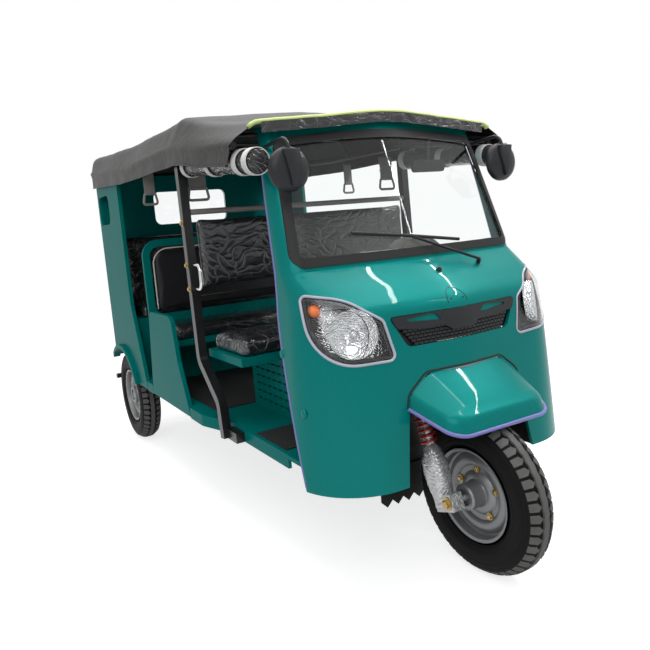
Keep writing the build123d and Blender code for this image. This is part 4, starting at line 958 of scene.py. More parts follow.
    def build(self) -> None:
        """Cut the shell's openings and put its edging on."""
        heights = self.heights() + [1.0655 + 0.0375 * k for k in range(1, 15)]
        shell = self.shell("cowl_skin", heights, 0, self.wall)
        lean, at = math.radians(self.rear_lean), Vector(self.rear_at)
        high = Vector((0, math.sin(lean), math.cos(lean)))
        corners = [at + X_AXIS * x + high * h for x, h in ((-1, -1.4), (1, -1.4), (1, 0.6), (-1, 0.6))]
        half, peak, fall = 0.6, 1.575, 0.043
        xs = [half - 0.05 * k for k in range(25)]
        arch = [(x, peak - fall * (x / half) ** 2) for x in xs] + [(-half, 1.9), (half, 1.9)]
        side = [(self.opening[0][0], 0.2)] + list(self.opening)
        wheel = side + [(-x, z) for x, z in reversed(side)]
        cuts = [
            prism("rear_cut", corners, Vector((0, math.cos(lean), -math.sin(lean)))),
            prism("roof_cut", self.front_loop(arch), Y_AXIS * 1.5),
            prism("screen_cut", self.front_loop(self.screen_points()), Y_AXIS * 0.92),
            prism("wheel_cut", self.front_loop(wheel), Y_AXIS * 0.9),
            paired("lamp_cuts", prism("lamp_cut", self.lamp_loop(0), self.lamp_n * 0.4)),
            prism("grille_cut", self.front_loop(Grille.outline()), Y_AXIS * 0.6),
        ]
        for cut in cuts:
            combine(shell, cut, "DIFFERENCE")
        self.dress(sharpen(shell, 32), TEAL, "teal_paint", "front_cowl")
        self.edging(at, high)
        self.seams()

    def edging(self, at: Vector, high: Vector) -> None:
        """Run the lilac edging up the cowl's rear edge.

        Args:
            at: a point on the edge's plane.
            high: direction up that plane.
        """
        foot, top, steps, inset = 0.372, 1.51, 39, 0.006
        path = []
        for k in range(steps + 1):
            z = foot + (top - foot) * k / steps
            y = at.y + (z - at.z) * high.y / high.z
            hit = self.skin.ray_cast(Vector((-1, y - inset, z)), X_AXIS)[0]
            path.append(hit + Vector((0.005, inset, 0)))
        edge = tube("edge", path, self.edge_r, up=X_AXIS, flat=0.8)
        self.dress(paired("cowl_edging", edge), LILAC, "teal_paint")

    def seams(self) -> None:
        """Put on the bare ring above the grille, its two holes and the bumps on the sides."""
        ring_r, ring_z = 0.041, 0.925
        turns = [math.radians(-8 + 196 * k / 40) for k in range(41)]
        ring = [self.front(ring_r * math.cos(a), ring_z + ring_r * math.sin(a)) for a in turns]
        pieces = [tube("ring", [p + Vector((0, -0.0003, 0)) for p in ring], 0.0011, sides=8)]
        profile = [(0, 0), (0.0008, 0.002), (0.0002, 0.0045)]
        for side in SIDES:
            hit = self.front(side * 0.026, 0.93)
            pieces.append(revolve("hole", profile, hit, Vector((0, -1, 0.2)), 16, False))
        self.dress(join("emblem_seam", pieces), RUBBER, "black_rubber")
        bumps = []
        profile = [(-0.002, 0.016), (0.002, 0.015), (0.0045, 0.01), (0.0055, 0.004), (0.0057, 0)]
        for y, z in ((-0.87, 0.80), (-0.98, 0.62)):
            hit = self.skin.ray_cast(Vector((-1, y, z)), X_AXIS)[0]
            bumps.append(revolve("bump", profile, hit, -X_AXIS, 24, False))
        self.dress(paired("cowl_bumps", join("bumps", bumps)), TEAL, "teal_paint")


@dataclass
class Lamps(Assembly):
    """Headlamps: lens, bright bowl, dark border, bulb and edging, on both sides."""

    cowl: Optional[Cowl] = None
    depth: float = 0.044
    back: float = 0.004
    bowl_r: float = 0.074
    bowl_at: tuple = (0.012, -0.014)
    amber_at: tuple = (-0.108, 0.066)
    lens: float = 0.003
    lens_gap: float = 0.004
    border: float = 0.012
    edge_r: float = 0.0045
    reach: float = 0.4

    def build(self) -> None:
        """Make the right lamp's pieces and their mirror images."""
        cowl, run = self.cowl, self.cowl.lamp_n * self.reach
        lens = cowl.patch("lens", cowl.lamp_loop(self.lens_gap), run, 0.0, self.lens)
        self.dress(sharpen(paired("headlamp_lens", lens), 30), LENS, "lamp_lens", "headlamp_lenses")
        wall = cowl.patch("wall", cowl.lamp_loop(0.0005), run, self.lens + 0.0005, self.depth)
        combine(wall, prism("wall_cut", cowl.lamp_loop(self.border), run), "DIFFERENCE")
        loop = cowl.lamp_loop(self.border - 0.001)
        back = cowl.patch("back", loop, run, self.depth - self.back, self.depth)
        self.dress(sharpen(paired("headlamp_border", wall), 30), PLASTIC, "lamp_shell", "headlamp_housings")
        self.dress(sharpen(paired("headlamp_back", back), 30), BRIGHT, "lamp_shell")
        self.bowl()
        rim = [cowl.skin.ray_cast(p + run, -cowl.lamp_n)[0] for p in cowl.lamp_loop(-0.003)]
        edge = tube("edge", rim, self.edge_r, closed=True, flat=0.7, up=cowl.lamp_n)
        self.dress(paired("headlamp_edging", edge), GASKET, "teal_paint")

    def bowl(self) -> None:
        """Make the faceted round reflector, its bulb and the amber side bulb."""
        cowl = self.cowl
        at = cowl.on_lamp(*self.bowl_at) - cowl.lamp_n * (self.depth - 0.003)
        profile = [(0.004 + 0.026 * (k / 8) ** 2, self.bowl_r * k / 8) for k in range(9)]
        profile += [(0.033, self.bowl_r + 0.004), (0.004, self.bowl_r + 0.006)]
        bowl = revolve("bowl", profile, at, cowl.lamp_n, 36, False)
        self.dress(sharpen(paired("headlamp_bowl", bowl), 8), BRIGHT, "lamp_shell")
        profile = [(0.004, 0.013), (0.02, 0.013), (0.026, 0.01), (0.03, 0.005), (0.031, 0)]
        bulb = revolve("bulb", profile, at, cowl.lamp_n, 20, False)
        self.dress(paired("headlamp_bulb", bulb), BRIGHT, "lamp_shell")
        at = cowl.on_lamp(*self.amber_at) - cowl.lamp_n * (self.depth - 0.003)
        profile = [(0, 0.021), (0.012, 0.02), (0.022, 0.015), (0.028, 0.007), (0.029, 0)]
        amber = revolve("amber", profile, at, cowl.lamp_n, 24, False)
        self.dress(paired("indicator_bulb", amber), AMBER, "lamp_shell")


@dataclass
class Grille(Assembly):
    """Winged bar with two painted slots over a brick mesh."""

    cowl: Optional[Cowl] = None
    top: tuple = (0.277, 0.902)
    low: tuple = (0.222, 0.800)
    mesh_low: float = 0.8065
    pitch: tuple = (0.0186, 0.0112)
    brick: tuple = (0.008, 0.0043)

    @classmethod
    def outline(cls) -> list[tuple[float, float]]:
        """Return the pocket's outline in X and Z.

        Returns:
            Pairs of X and Z, in order.
        """
        (top_x, top_z), (low_x, low_z) = cls.top, cls.low
        corners = [(-top_x, top_z), (-low_x, low_z), (low_x, low_z), (top_x, top_z)]
        return rounded(corners, [0.008, 0.034, 0.034, 0.008], 8)

    def build(self) -> None:
        """Make the backing, the mesh, the bar and its slots."""
        cowl, run = self.cowl, Y_AXIS * 0.9
        back = cowl.patch("grille_back", cowl.front_loop(self.outline()), run, 0.016, 0.02)
        self.dress(sharpen(back, 30), RUBBER, "black_plastic", "front_grille")
        bricks = []
        wide, high = self.brick
        for row in range(6):
            z = self.mesh_low + self.pitch[1] * row
            for k in range(-14, 15):
                x = self.pitch[0] * (k + 0.5 * (row % 2))
                if abs(x) < 0.203 + 0.5 * (z - self.mesh_low):
                    block = [(x - wide, z - high), (x + wide, z - high), (x + wide, z + high),
                             (x - wide, z + high)]
                    bricks.append(prism("brick", cowl.front_loop(block), run))
        mesh = cowl.shell("grille_mesh", [0.79 + 0.008 * k for k in range(12)], 0.004, 0.0165)
        combine(mesh, join("bricks", bricks), "INTERSECT")
        modify(mesh, "BEVEL", width=0.0012, segments=2, limit_method="ANGLE", angle_limit=math.radians(40))
        self.dress(sharpen(mesh, 30), PLASTIC, "black_plastic")
        self.bar(run)

    def bar(self, run: Vector) -> None:
        """Make the winged bar with its two tapered slots.

        Args:
            run: length and direction of the cutting prisms.
        """
        cowl = self.cowl
        wing = self.top[0] - 0.003
        tip = self.low[0] + (self.top[0] - self.low[0]) * 0.62
        half = [(0.045, 0.834), (0.075, 0.853), (0.16, 0.853), (tip, 0.862), (wing, 0.9)]
        corners = [(-x, z) for x, z in reversed(half)] + half
        bends = [0.006, 0.02, 0.1, 0.02, 0.02]
        loop = cowl.front_loop(rounded(corners, bends + bends[::-1], 6))
        bar = cowl.patch("grille_bar", loop, run, -0.006, 0.008)
        slot = [(0.085, 0.872), (0.205, 0.881), (0.232, 0.888), (0.13, 0.8955), (0.105, 0.8935)]
        loop = cowl.front_loop(rounded(slot, [0.003] * len(slot), 4))
        combine(bar, paired("slots", prism("slot", loop, run)), "DIFFERENCE")
        self.dress(sharpen(bar, 30), PLASTIC, "black_plastic")
        floor = cowl.patch("floor", loop, run, -0.001, 0.006)
        self.dress(sharpen(paired("grille_slots", floor), 30), TEAL, "teal_paint")


@dataclass
class Mudguard(Assembly):
    """Front mudguard with its lilac lip and the black line where it meets the cowl.

    Each row is height, slope in degrees, rear half width, front half width, reach and corner radius.
    """

    cowl: Optional[Cowl] = None
    rows: tuple = (
        (0.606, 21, 0.252, 0.205, 0.196, 0.075),
        (0.652, 21, 0.241, 0.190, 0.184, 0.066),
        (0.712, 36, 0.166, 0.114, 0.190, 0.026),
    )
    at: float = -1.13
    behind: float = 0.07

    def ring(self, row: tuple, inset: float) -> list[Vector]:
        """Return one slanted outline of the guard, moved inwards and down by inset.

        Args:
            row: one row of the guard.
            inset: distance inwards and down.

        Returns:
            Points from the right rear round the front to the left rear.
        """
        height, slope, rear, fore, reach, radius = row
        ahead = Vector((0, -math.cos(math.radians(slope)), -math.sin(math.radians(slope))))
        start = Vector((0, self.at, height - inset))
        back = rear + (rear - fore) * self.behind / reach - inset
        tip = fore - inset
        corners = [(-back, -self.behind), (-tip, reach - inset), (tip, reach - inset), (back, -self.behind)]
        points = [start + Vector((x, 0, 0)) + ahead * d for x, d in corners]
        bend = radius - inset
        return fillet(points, [0, bend, bend, 0], 14, False)

    def eased(self) -> list[tuple]:
        """Return the rows with the bends between them rounded.

        Returns:
            Rows from the lip to the crown.
        """
        height, slope, rear, fore, reach, radius = self.rows[-1]
        rows = [*self.rows, (height + 0.004, slope, 0.6 * rear, 0.55 * fore, 0.74 * reach, 0.8 * radius)]
        made = [rows[0]]
        for before, row, after in zip(rows, rows[1:], rows[2:]):
            for k in range(7):
                t = k / 6
                ends = [(a + (b - a) * 0.6, b, b + (c - b) * 0.45) for a, b, c in zip(before, row, after)]
                made.append(tuple((1 - t) ** 2 * a + 2 * t * (1 - t) * b + t * t * c for a, b, c in ends))
        return made + [rows[-1]]

    def solid(self, name: str, inset: float) -> Obj:
        """Make the closed form under the guard's skin, with its edges rounded.

        Args:
            name: name of the piece.
            inset: distance from the skin.

        Returns:
            The closed form.
        """
        rings = [self.ring(row, inset) for row in self.eased()]
        faces = grid_faces(len(rings), len(rings[0]), around=True, capped=True)
        return mesh_piece(name, [p for ring in rings for p in ring], faces)

    def build(self) -> None:
        """Hollow the guard, trim it to the cowl and add its lip and seal."""
        cowl, step = self.cowl, 0.012
        guard = self.solid("mudguard", 0)
        combine(guard, self.solid("hollow", 0.005), "DIFFERENCE")
        body = cowl.shell("body", [0.4 + 0.02 * k for k in range(26)], -0.0005, 0.3)
        combine(guard, body, "DIFFERENCE")
        self.dress(sharpen(guard, 30), TEAL, "teal_paint", "front_mudguard")
        lip = spread(self.ring(self.rows[0], 0.001), step)
        keep = [p for p in lip if p.y < cowl.front(p.x, p.z).y + 0.012]
        edge = tube("mudguard_lip", [p + Vector((0, -0.001, 0.002)) for p in keep], 0.006)
        self.dress(edge, LILAC, "teal_paint")
        crest = [(row[2] + 0.002, row[0]) for row in self.rows]
        path = [Vector((x, z, 0)) for x, z in crest] + [Vector((-x, z, 0)) for x, z in reversed(crest)]
        line = fillet(path, [0, 0.05, 0.04, 0.04, 0.05, 0], 8, False)
        seam = [cowl.front(p.x, p.y) for p in spread(line, step)]
        self.dress(tube("mudguard_seal", seam, 0.003), RUBBER, "black_rubber")


# Roof and soft pieces


@dataclass
class Canopy(Assembly):
    """Soft roof in one sheet: crown, rounded corners, hanging skirt and rear end, with a lime front strip.

    Each row is Y, hem height, fold height, corner half width, corner height and crown height.
    """

    rows: tuple = (
        (-0.815, 1.425, 1.505, 0.515, 1.560, 1.604),
        (-0.460, 1.464, 1.548, 0.540, 1.622, 1.668),
        (-0.155, 1.508, 1.584, 0.550, 1.692, 1.724),
        (0.550, 1.520, 1.606, 0.560, 1.706, 1.738),
        (1.425, 1.570, 1.668, 0.590, 1.755, 1.768),
    )
    bows: tuple = (-0.82, -0.145, 0.33, 0.87, 1.36, 1.425)
    ridge_y: float = -0.15
    rear_r: float = 0.025
    hem_x: float = 0.62
    fold_x: float = 0.612
    across: int = 91
    along: int = 150
    sections: int = 180
    length: float = 2.3
    sag: float = 0.004
    strip_x: float = 0.548
    flap_x: float = 0.505
    flap_low: float = 0.036

    def __post_init__(self) -> None:
        """Make curves between the rows and cut sections along the roof."""
        columns = list(zip(*self.rows))
        self.curves = [Ease(columns[0], column) for column in columns[1:]]
        fore, rear = self.rows[0][0], self.rows[-1][0]
        self.ys = [fore + (rear - fore) * k / self.sections for k in range(self.sections + 1)]
        self.cuts = [self.section(y) for y in self.ys]

    def section(self, y: float) -> list[Vector]:
        """Return evenly spaced points from the right hem over the crown to the left hem.

        Args:
            y: place along the roof.

        Returns:
            The section's points.
        """
        hem, fold, half, corner, crown = (curve(y) for curve in self.curves)
        right = [(-self.hem_x, hem), (-self.fold_x, fold), (-half, corner)]
        flat = right + [(0, crown)] + [(-x, z) for x, z in reversed(right)]
        line = fillet([Vector((x, y, z)) for x, z in flat], [0, 0.05, 0.05, 1.2, 0.05, 0.05, 0], 10, False)
        runs = [0.0]
        for a, b in zip(line, line[1:]):
            runs.append(runs[-1] + (b - a).length)
        made, i = [], 0
        for k in range(self.across):
            want = runs[-1] * k / (self.across - 1)
            while i < len(runs) - 2 and runs[i + 1] < want:
                i += 1
            made.append(line[i].lerp(line[i + 1], (want - runs[i]) / max(runs[i + 1] - runs[i], 1e-9)))
        return made

    def front_y(self, x: float, low: float) -> float:
        """Return the Y of the front edge at a half width, slanting back down the skirt by low."""
        return self.rows[0][0] + 0.04 * min(1.0, (abs(x) / 0.53) ** 2) + 0.045 * low

    def point(self, c: int, t: float) -> Vector:
        """Return a point of the sheet at a column and a share of the way to the rear.

        Args:
            c: number of the column.
            t: share of the way, from 0 to 1.

        Returns:
            The point.
        """
        start = self.cuts[0][c]
        low = max(0.0, min(1.0, (self.rows[0][2] - start.z) / 0.073))
        fore = self.front_y(start.x, low)
        y = fore + (self.rows[-1][0] - fore) * t
        place = (y - self.ys[0]) / (self.ys[-1] - self.ys[0]) * self.sections
        i = min(int(max(place, 0)), self.sections - 1)
        made = self.cuts[i][c].lerp(self.cuts[i + 1][c], place - i)
        made.y = y
        return self.drape(made)

    def drape(self, p: Vector) -> Vector:
        """Let the sheet sag between its bows, fold along its skirt and round off at the rear.

        Args:
            p: point of the stretched sheet.

        Returns:
            The point where the cloth hangs.
        """
        hem, fold = self.curves[0](p.y), self.curves[1](p.y)
        top = max(0.0, min(1.0, (p.z - fold) / 0.06))
        skirt = max(0.0, min(1.0, (fold - p.z) / (fold - hem)))
        a, b = next(pair for pair in zip(self.bows, self.bows[1:]) if p.y <= pair[1])
        t = (p.y - a) / (b - a)
        side = -1 if p.x < 0 else 1
        made = p.copy()
        made.z -= self.sag * top * math.sin(math.pi * t) ** 1.3 * min(1.0, (b - a) / 0.3)
        made.z += 0.007 * top * math.exp(-(((p.y - self.ridge_y) / 0.045) ** 2))
        wave = 0.3 * math.sin(p.y * 23 + 3.2 * wobble(p, 2.3, 4.0)) + wobble(p, 7.0, 2.0)
        probe = Vector((side, p.y, 0))
        bulge = math.exp(-(((skirt - 0.18 - 0.3 * wobble(probe, 2.1, 3.0)) / 0.16) ** 2))
        made.x += side * (skirt * (0.004 * wave - 0.006) + 0.011 * bulge * min(1.0, 6 * skirt))
        made.z += skirt * 0.006 * wobble(probe, 4.0, 7.0)
        made.z += 0.0022 * wobble(p, 11.0, 1.0)
        rear = self.rows[-1][0] - p.y
        if rear < self.rear_r:
            pull = self.rear_r - math.sqrt(max(0.0, self.rear_r**2 - (self.rear_r - rear) ** 2))
            made.z -= pull * top
            made.x -= side * pull * 0.7
        return made

    def build(self) -> None:
        """Make the sheet and its strip."""
        shares = [k / (self.along - 1) for k in range(self.along)]
        verts = [self.point(c, t) for t in shares for c in range(self.across)]
        wide, last, mid = self.across, (self.along - 1) * self.across, self.across // 2
        faces = grid_faces(self.along, wide)
        for c in range(mid - 1):
            faces.append((last + c, last + c + 1, last + wide - 2 - c, last + wide - 1 - c))
        faces.append((last + mid - 1, last + mid, last + mid + 1))
        sheet = mesh_piece("canopy_sheet", verts, faces)
        self.dress(sheet, CANOPY, "canopy_vinyl", "roof_canopy")
        edge = [verts[c] for c in range(wide) if abs(verts[c].x) < self.strip_x]
        line = [p + Vector((0, 0.008, 0.002)) for p in edge]
        strip = tube("canopy_strip", line, 0.011, flat=0.7, up=Vector((0, 0.3, 1)))
        self.dress(strip, LIME, "canopy_vinyl")
        self.flap([p for p in edge if abs(p.x) < self.flap_x])
        for name, column in (("right", 0), ("left", wide - 1)):
            line = [verts[r * wide + column] for r in range(self.along)]
            self.dress(tube(f"canopy_hem_{name}", line, 0.004, sides=8), CANOPY, "canopy_vinyl")

    def flap(self, edge: Sequence[Vector]) -> None:
        """Hang the crinkled front flap from the front edge over the roof's header.

        Args:
            edge: points of the front edge, from right to left.
        """
        line = spread(edge, 0.006)
        rows = 7
        verts = []
        for r in range(rows):
            share = r / (rows - 1)
            for p in line:
                fold = 0.0022 * math.sin(p.x * 95 + 5 * wobble(p, 6.0, 1.0)) * math.sin(math.pi * share)
                verts.append(p + Vector((0, 0.002 * r / rows - 0.002 + fold, -self.flap_low * share)))
        flap = mesh_piece("canopy_flap", verts, grid_faces(rows, len(line)))
        self.dress(flap, CURTAIN, "canopy_vinyl")


@dataclass
class Curtains(Assembly):
    """Rolled side curtains, tied up under the canopy."""

    start: tuple = (-0.556, -0.845, 1.432)
    end: tuple = (-0.556, -0.200, 1.496)
    radius: float = 0.042
    ties: tuple = (0.03, 0.16, 0.55, 0.95)
    rings: int = 90
    count: int = 40

    def build(self) -> None:
        """Make both rolls with loose turns that bulge between the ties."""
        start, end = Vector(self.start), Vector(self.end)
        along = (end - start).normalized()
        side = along.cross(Z_AXIS).normalized()
        high = side.cross(along)
        verts = []
        for i in range(self.rings):
            share = i / (self.rings - 1)
            loose = min(1.0, min(abs(share - tie) for tie in self.ties) / 0.08)
            for k in range(self.count):
                turn = 2 * math.pi * k / self.count
                probe = Vector((math.cos(turn), math.sin(turn), share * 7))
                slack = 0.05 * loose * (1 + wobble(probe, 1.6, 5.0))
                r = self.radius * (0.965 - slack + 0.02 * loose * wobble(probe, 5.0, 3.0))
                r -= ((turn / (2 * math.pi) + 0.3) % 1.0) * 0.004 * loose
                verts.append(start.lerp(end, share) + (side * math.cos(turn) + high * math.sin(turn)) * r)
        faces = grid_faces(self.rings, self.count, around=True, capped=True)
        roll = paired("curtain_rolls_soft", mesh_piece("roll", verts, faces))
        self.dress(sharpen(roll, 50), CURTAIN, "canopy_vinyl", "curtain_rolls")


@dataclass
class Seat(Assembly):
    """One padded seat or backrest, swollen from its plain form by a cloth run."""

    node: str = ""
    finish: Finish = FILMED
    voxel: float = 0.009
    shrink: float = 0.007
    cap: float = 0.014
    flat_low: bool = True
    pressure: float = 4.0
    tension: float = 12.0
    bending: float = 0.4
    frames: int = 20
    edge: float = 0.0005
    rise: float = 0.012

    def build(self) -> None:
        """Copy the plain form, swell it and let it rest on its tray."""
        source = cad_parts[self.node]
        low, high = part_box(self.node)
        middle = (low + high) / 2
        mesh = source.data.copy()
        mesh.name = self.node + "_pad"
        for vert in mesh.vertices:
            for axis in range(3):
                span = (high[axis] - low[axis]) / 2
                if not (self.flat_low and axis == 2 and vert.co[axis] < middle[axis]):
                    reach = (vert.co[axis] - middle[axis]) * (span - self.shrink) / span
                    vert.co[axis] = middle[axis] + reach
        pad = placed(self.node + "_pad", mesh)
        modify(pad, "REMESH", mode="VOXEL", voxel_size=self.voxel)
        modify(pad, "SMOOTH", iterations=6, factor=0.5)
        self.swell(pad, low, high)
        pad.data.polygons.foreach_set("use_smooth", [True] * len(pad.data.polygons))
        self.dress(pad, self.finish, "black_vinyl", self.node)

    def swell(self, pad: Obj, low: Vector, high: Vector) -> None:
        """Run cloth under pressure, hold each point to the cap and to the node's own box.

        Args:
            pad: pad to swell.
            low: lowest corner of the node's box.
            high: highest corner of that box.
        """
        before = [v.co.copy() for v in pad.data.vertices]
        cloth = pad.modifiers.new("cloth", "CLOTH")
        cloth.settings.quality = 4
        cloth.settings.use_pressure = True
        cloth.settings.uniform_pressure_force = self.pressure
        cloth.settings.effector_weights.gravity = 0
        cloth.settings.tension_stiffness = self.tension
        cloth.settings.bending_stiffness = self.bending
        cloth.point_cache.frame_start, cloth.point_cache.frame_end = 1, self.frames
        for step in range(1, self.frames + 1):
            bpy.context.scene.frame_set(step)
        bake(pad)
        bpy.context.scene.frame_set(1)
        for vert, start in zip(pad.data.vertices, before):
            move = vert.co - start
            if move.length > self.cap:
                move *= self.cap / move.length
            made = start + move
            for axis in range(3):
                most = high[axis] + (self.rise if axis == 2 else -self.edge)
                made[axis] = min(max(made[axis], low[axis] + self.edge), most)
            vert.co = made
        modify(pad, "SMOOTH", iterations=3, factor=0.4)


# Running gear


@dataclass
class RoadWheel(Assembly):
    """Tyre with its tread and a dished rim with its nuts."""

    place: str = "front"
    x: float = 0.0
    y: float = -1.182
    out: int = -1
    hub_r: float = 0.044
    hub_out: float = 0.078
    radius: float = 0.272
    pitches: int = 46
    tread: float = 0.011
    nut_circle: float = 0.084
    profile: tuple = ((0.042, 0.153), (0.0425, 0.166), (0.052, 0.178), (0.0575, 0.196), (0.0585, 0.215),
                      (0.056, 0.235), (0.0515, 0.249), (0.043, 0.2565), (0.026, 0.2635), (0.0, 0.2655))
    centre: tuple = ((-0.5, -0.011), (0, -0.014), (0.5, -0.011), (0.5, 0.011), (0, 0.008), (-0.5, 0.011))
    shoulder: tuple = ((-0.36, 0.05), (0.36, 0.05), (0.38, 0.028), (0.02, 0.0175), (-0.34, 0.028))
    ribs: tuple = (0.172, 0.187, 0.226, 0.2415)

    def at(self) -> Vector:
        """Return the wheel's middle."""
        return Vector((self.x, self.y, self.radius))

    def crown(self, w: float) -> float:
        """Return the tread's outer radius at a distance from the middle."""
        return self.radius - 0.021 * max(0.0, (abs(w) - 0.012) / 0.04) ** 1.7

    def block(self, corners: Sequence[tuple[float, float]], turn: float, pitch: float) -> Obj:
        """Make one tread block from corners in shares of a pitch and distances across.

        Args:
            corners: pairs of pitch share and distance across.
            turn: angle of the pitch's middle.
            pitch: angle of one pitch.

        Returns:
            The block.
        """
        verts = []
        for drop in (self.tread, 0.0):
            for s, w in corners:
                a = turn + s * pitch
                r = self.crown(w) - drop
                verts.append(self.at() + Vector((w, r * math.cos(a), r * math.sin(a))))
        n = len(corners)
        faces = grid_faces(2, n, around=True) + [tuple(range(n, 2 * n))]
        return mesh_piece("block", verts, faces, smooth=False)

    def build(self) -> None:
        """Make the carcass, the tread and the rim."""
        self.carcass()
        pitch = 2 * math.pi / self.pitches
        blocks = []
        for k in range(self.pitches):
            turn = k * pitch
            blocks.append(self.block(self.centre, turn, pitch))
            for side in SIDES:
                arrow = [(s + 0.25 * side, side * w) for s, w in self.shoulder]
                blocks.append(self.block(arrow, turn, pitch))
        self.dress(join(self.place + "_tread", blocks), TREAD, "tyre_rubber")
        self.rim(X_AXIS * self.out)

    def carcass(self) -> None:
        """Make the tyre's body with the fine ribs on its walls."""
        ring = list(self.profile) + [(-w, r) for w, r in reversed(self.profile[:-1])]
        ring = rounded(ring, [0] + [0.012] * (len(ring) - 2) + [0], 3, False)
        pieces = [revolve(self.place + "_carcass", ring, self.at(), X_AXIS, 96)]
        fine = 0.0018
        for r in self.ribs:
            a, b = next(pair for pair in zip(self.profile, self.profile[1:]) if r <= pair[1][1])
            w = a[0] + (b[0] - a[0]) * (r - a[1]) / (b[1] - a[1]) - 0.0005
            turns = [math.pi * j / 4 for j in range(8)]
            bead = [(w + fine * math.cos(k), r + fine * math.sin(k)) for k in turns]
            pieces += [revolve("rib", [(side * a, b) for a, b in bead], self.at(), X_AXIS, 72)
                       for side in SIDES]
        carcass = join(self.place + "_carcass", pieces)
        self.dress(sharpen(carcass, 40), SIDEWALL, "tyre_rubber", self.place + "_tyre")

    def rim(self, out: Vector) -> None:
        """Make the dished rim, its hub and its nuts.

        Args:
            out: direction that the dish faces.
        """
        at, hub, hub_r = self.at(), self.hub_out, self.hub_r
        half = [(-0.0475, 0.164), (-0.0475, 0.158), (-0.044, 0.152), (-0.036, 0.149), (-0.018, 0.147),
                (-0.012, 0.14)]
        barrel = half + [(-w, r) for w, r in reversed(half)]
        thick = barrel + [(w, r - 0.004) for w, r in reversed(barrel)]
        dish = [(0.006, 0.139), (0.016, 0.132), (0.024, 0.122), (0.026, 0.112), (0.022, 0.1),
                (0.012, 0.092), (0.010, 0.076), (0.016, 0.07), (0.022, 0.062), (0.022, hub_r + 0.004),
                (0.028, hub_r), (hub - 0.006, hub_r), (hub, hub_r - 0.006), (hub, hub_r - 0.016),
                (hub - 0.012, hub_r - 0.018), (hub - 0.013, 0.0105)]
        back = [(-0.02, 0.0105), (-0.02, hub_r - 0.004), (0.0, hub_r + 0.01), (0.004, 0.1), (0.0, 0.139)]
        rim = join(self.place + "_dish", [revolve("barrel", thick, at, out, 80),
                                          revolve("dish", dish + back, at, out, 80)])
        self.dress(sharpen(rim, 38), RIM, "grey_rim", self.place + "_rim")
        nuts, count = [], 5
        for k in range(count):
            turn = 2 * math.pi * (k + 0.25) / count
            spot = at + out * 0.0135 + Vector((0, math.cos(turn), math.sin(turn))) * self.nut_circle
            nuts.append(bolt("nut", spot, out, 0.0085))
        self.dress(join(self.place + "_nuts", nuts), BRASS, "grey_rim")


@dataclass
class Fork(Assembly):
    """Coil springs, loose film sleeves and axle nuts on the steered fork."""

    body: str = "steering"
    origin: tuple = (0.0, -1.122, 0.272)
    axle: tuple = (0.15, -1.182, 0.272)
    rake: float = 18.0
    leg_x: float = 0.125
    leg_back: float = -0.015
    low: float = 0.168
    high: float = 0.315
    turns: int = 7
    coil_r: float = 0.0262
    steps: int = 28

    def build(self) -> None:
        """Make the springs, the sleeves and the nuts."""
        a = math.radians(self.rake)
        up = Vector((0, math.sin(a), math.cos(a)))
        aft = Vector((0, math.cos(a), -math.sin(a)))
        foot = Vector(self.origin) + Vector((-self.leg_x, 0, 0)) + aft * self.leg_back
        path, last = [], self.turns * self.steps
        for k in range(last + 1):
            turn = 2 * math.pi * k / self.steps
            rise = self.low + 0.006 + (self.high - self.low - 0.012) * k / last
            spot = foot + up * rise + X_AXIS * self.coil_r * math.cos(turn)
            path.append(spot + aft * self.coil_r * math.sin(turn))
        coil = tube("coil", path, 0.0046, sides=10, up=up)
        self.dress(paired("fork_coils", coil), RED, "red_spring", "fork_springs")
        self.sleeves(foot, up, aft)
        x, y, z = self.axle
        nuts = [bolt("nut", Vector((side * x, y, z)), X_AXIS * side, 0.014) for side in SIDES]
        self.dress(join("axle_nuts", nuts), BRASS, "black_steel")

    def sleeves(self, foot: Vector, up: Vector, aft: Vector) -> None:
        """Make the crumpled sleeves round the lower legs.

        Args:
            foot: foot of the right leg.
            up: direction up the leg.
            aft: direction across it, to the rear.
        """
        rings, count, start, length = 46, 32, -0.034, 0.208
        verts = []
        for i in range(rings):
            share = i / (rings - 1)
            bulge = math.sin(math.pi * min(1.0, (1 - share) * 1.25)) ** 0.8
            swell = 0.034 + 0.01 * bulge - 0.012 * share**6
            middle = foot + up * (start + length * share)
            for k in range(count):
                turn = 2 * math.pi * k / count
                probe = Vector((math.cos(turn), math.sin(turn), 4 * share))
                r = swell * (1 + 0.07 * wobble(probe, 1.7, 2.0) + 0.035 * wobble(probe, 6.0, 4.0))
                verts.append(middle + X_AXIS * r * math.cos(turn) + aft * r * math.sin(turn))
        faces = grid_faces(rings, count, around=True, capped=True)
        sleeve = paired("fork_sleeves", mesh_piece("sleeve", verts, faces))
        self.dress(sharpen(sleeve, 50), WRAP, "chrome_tube")


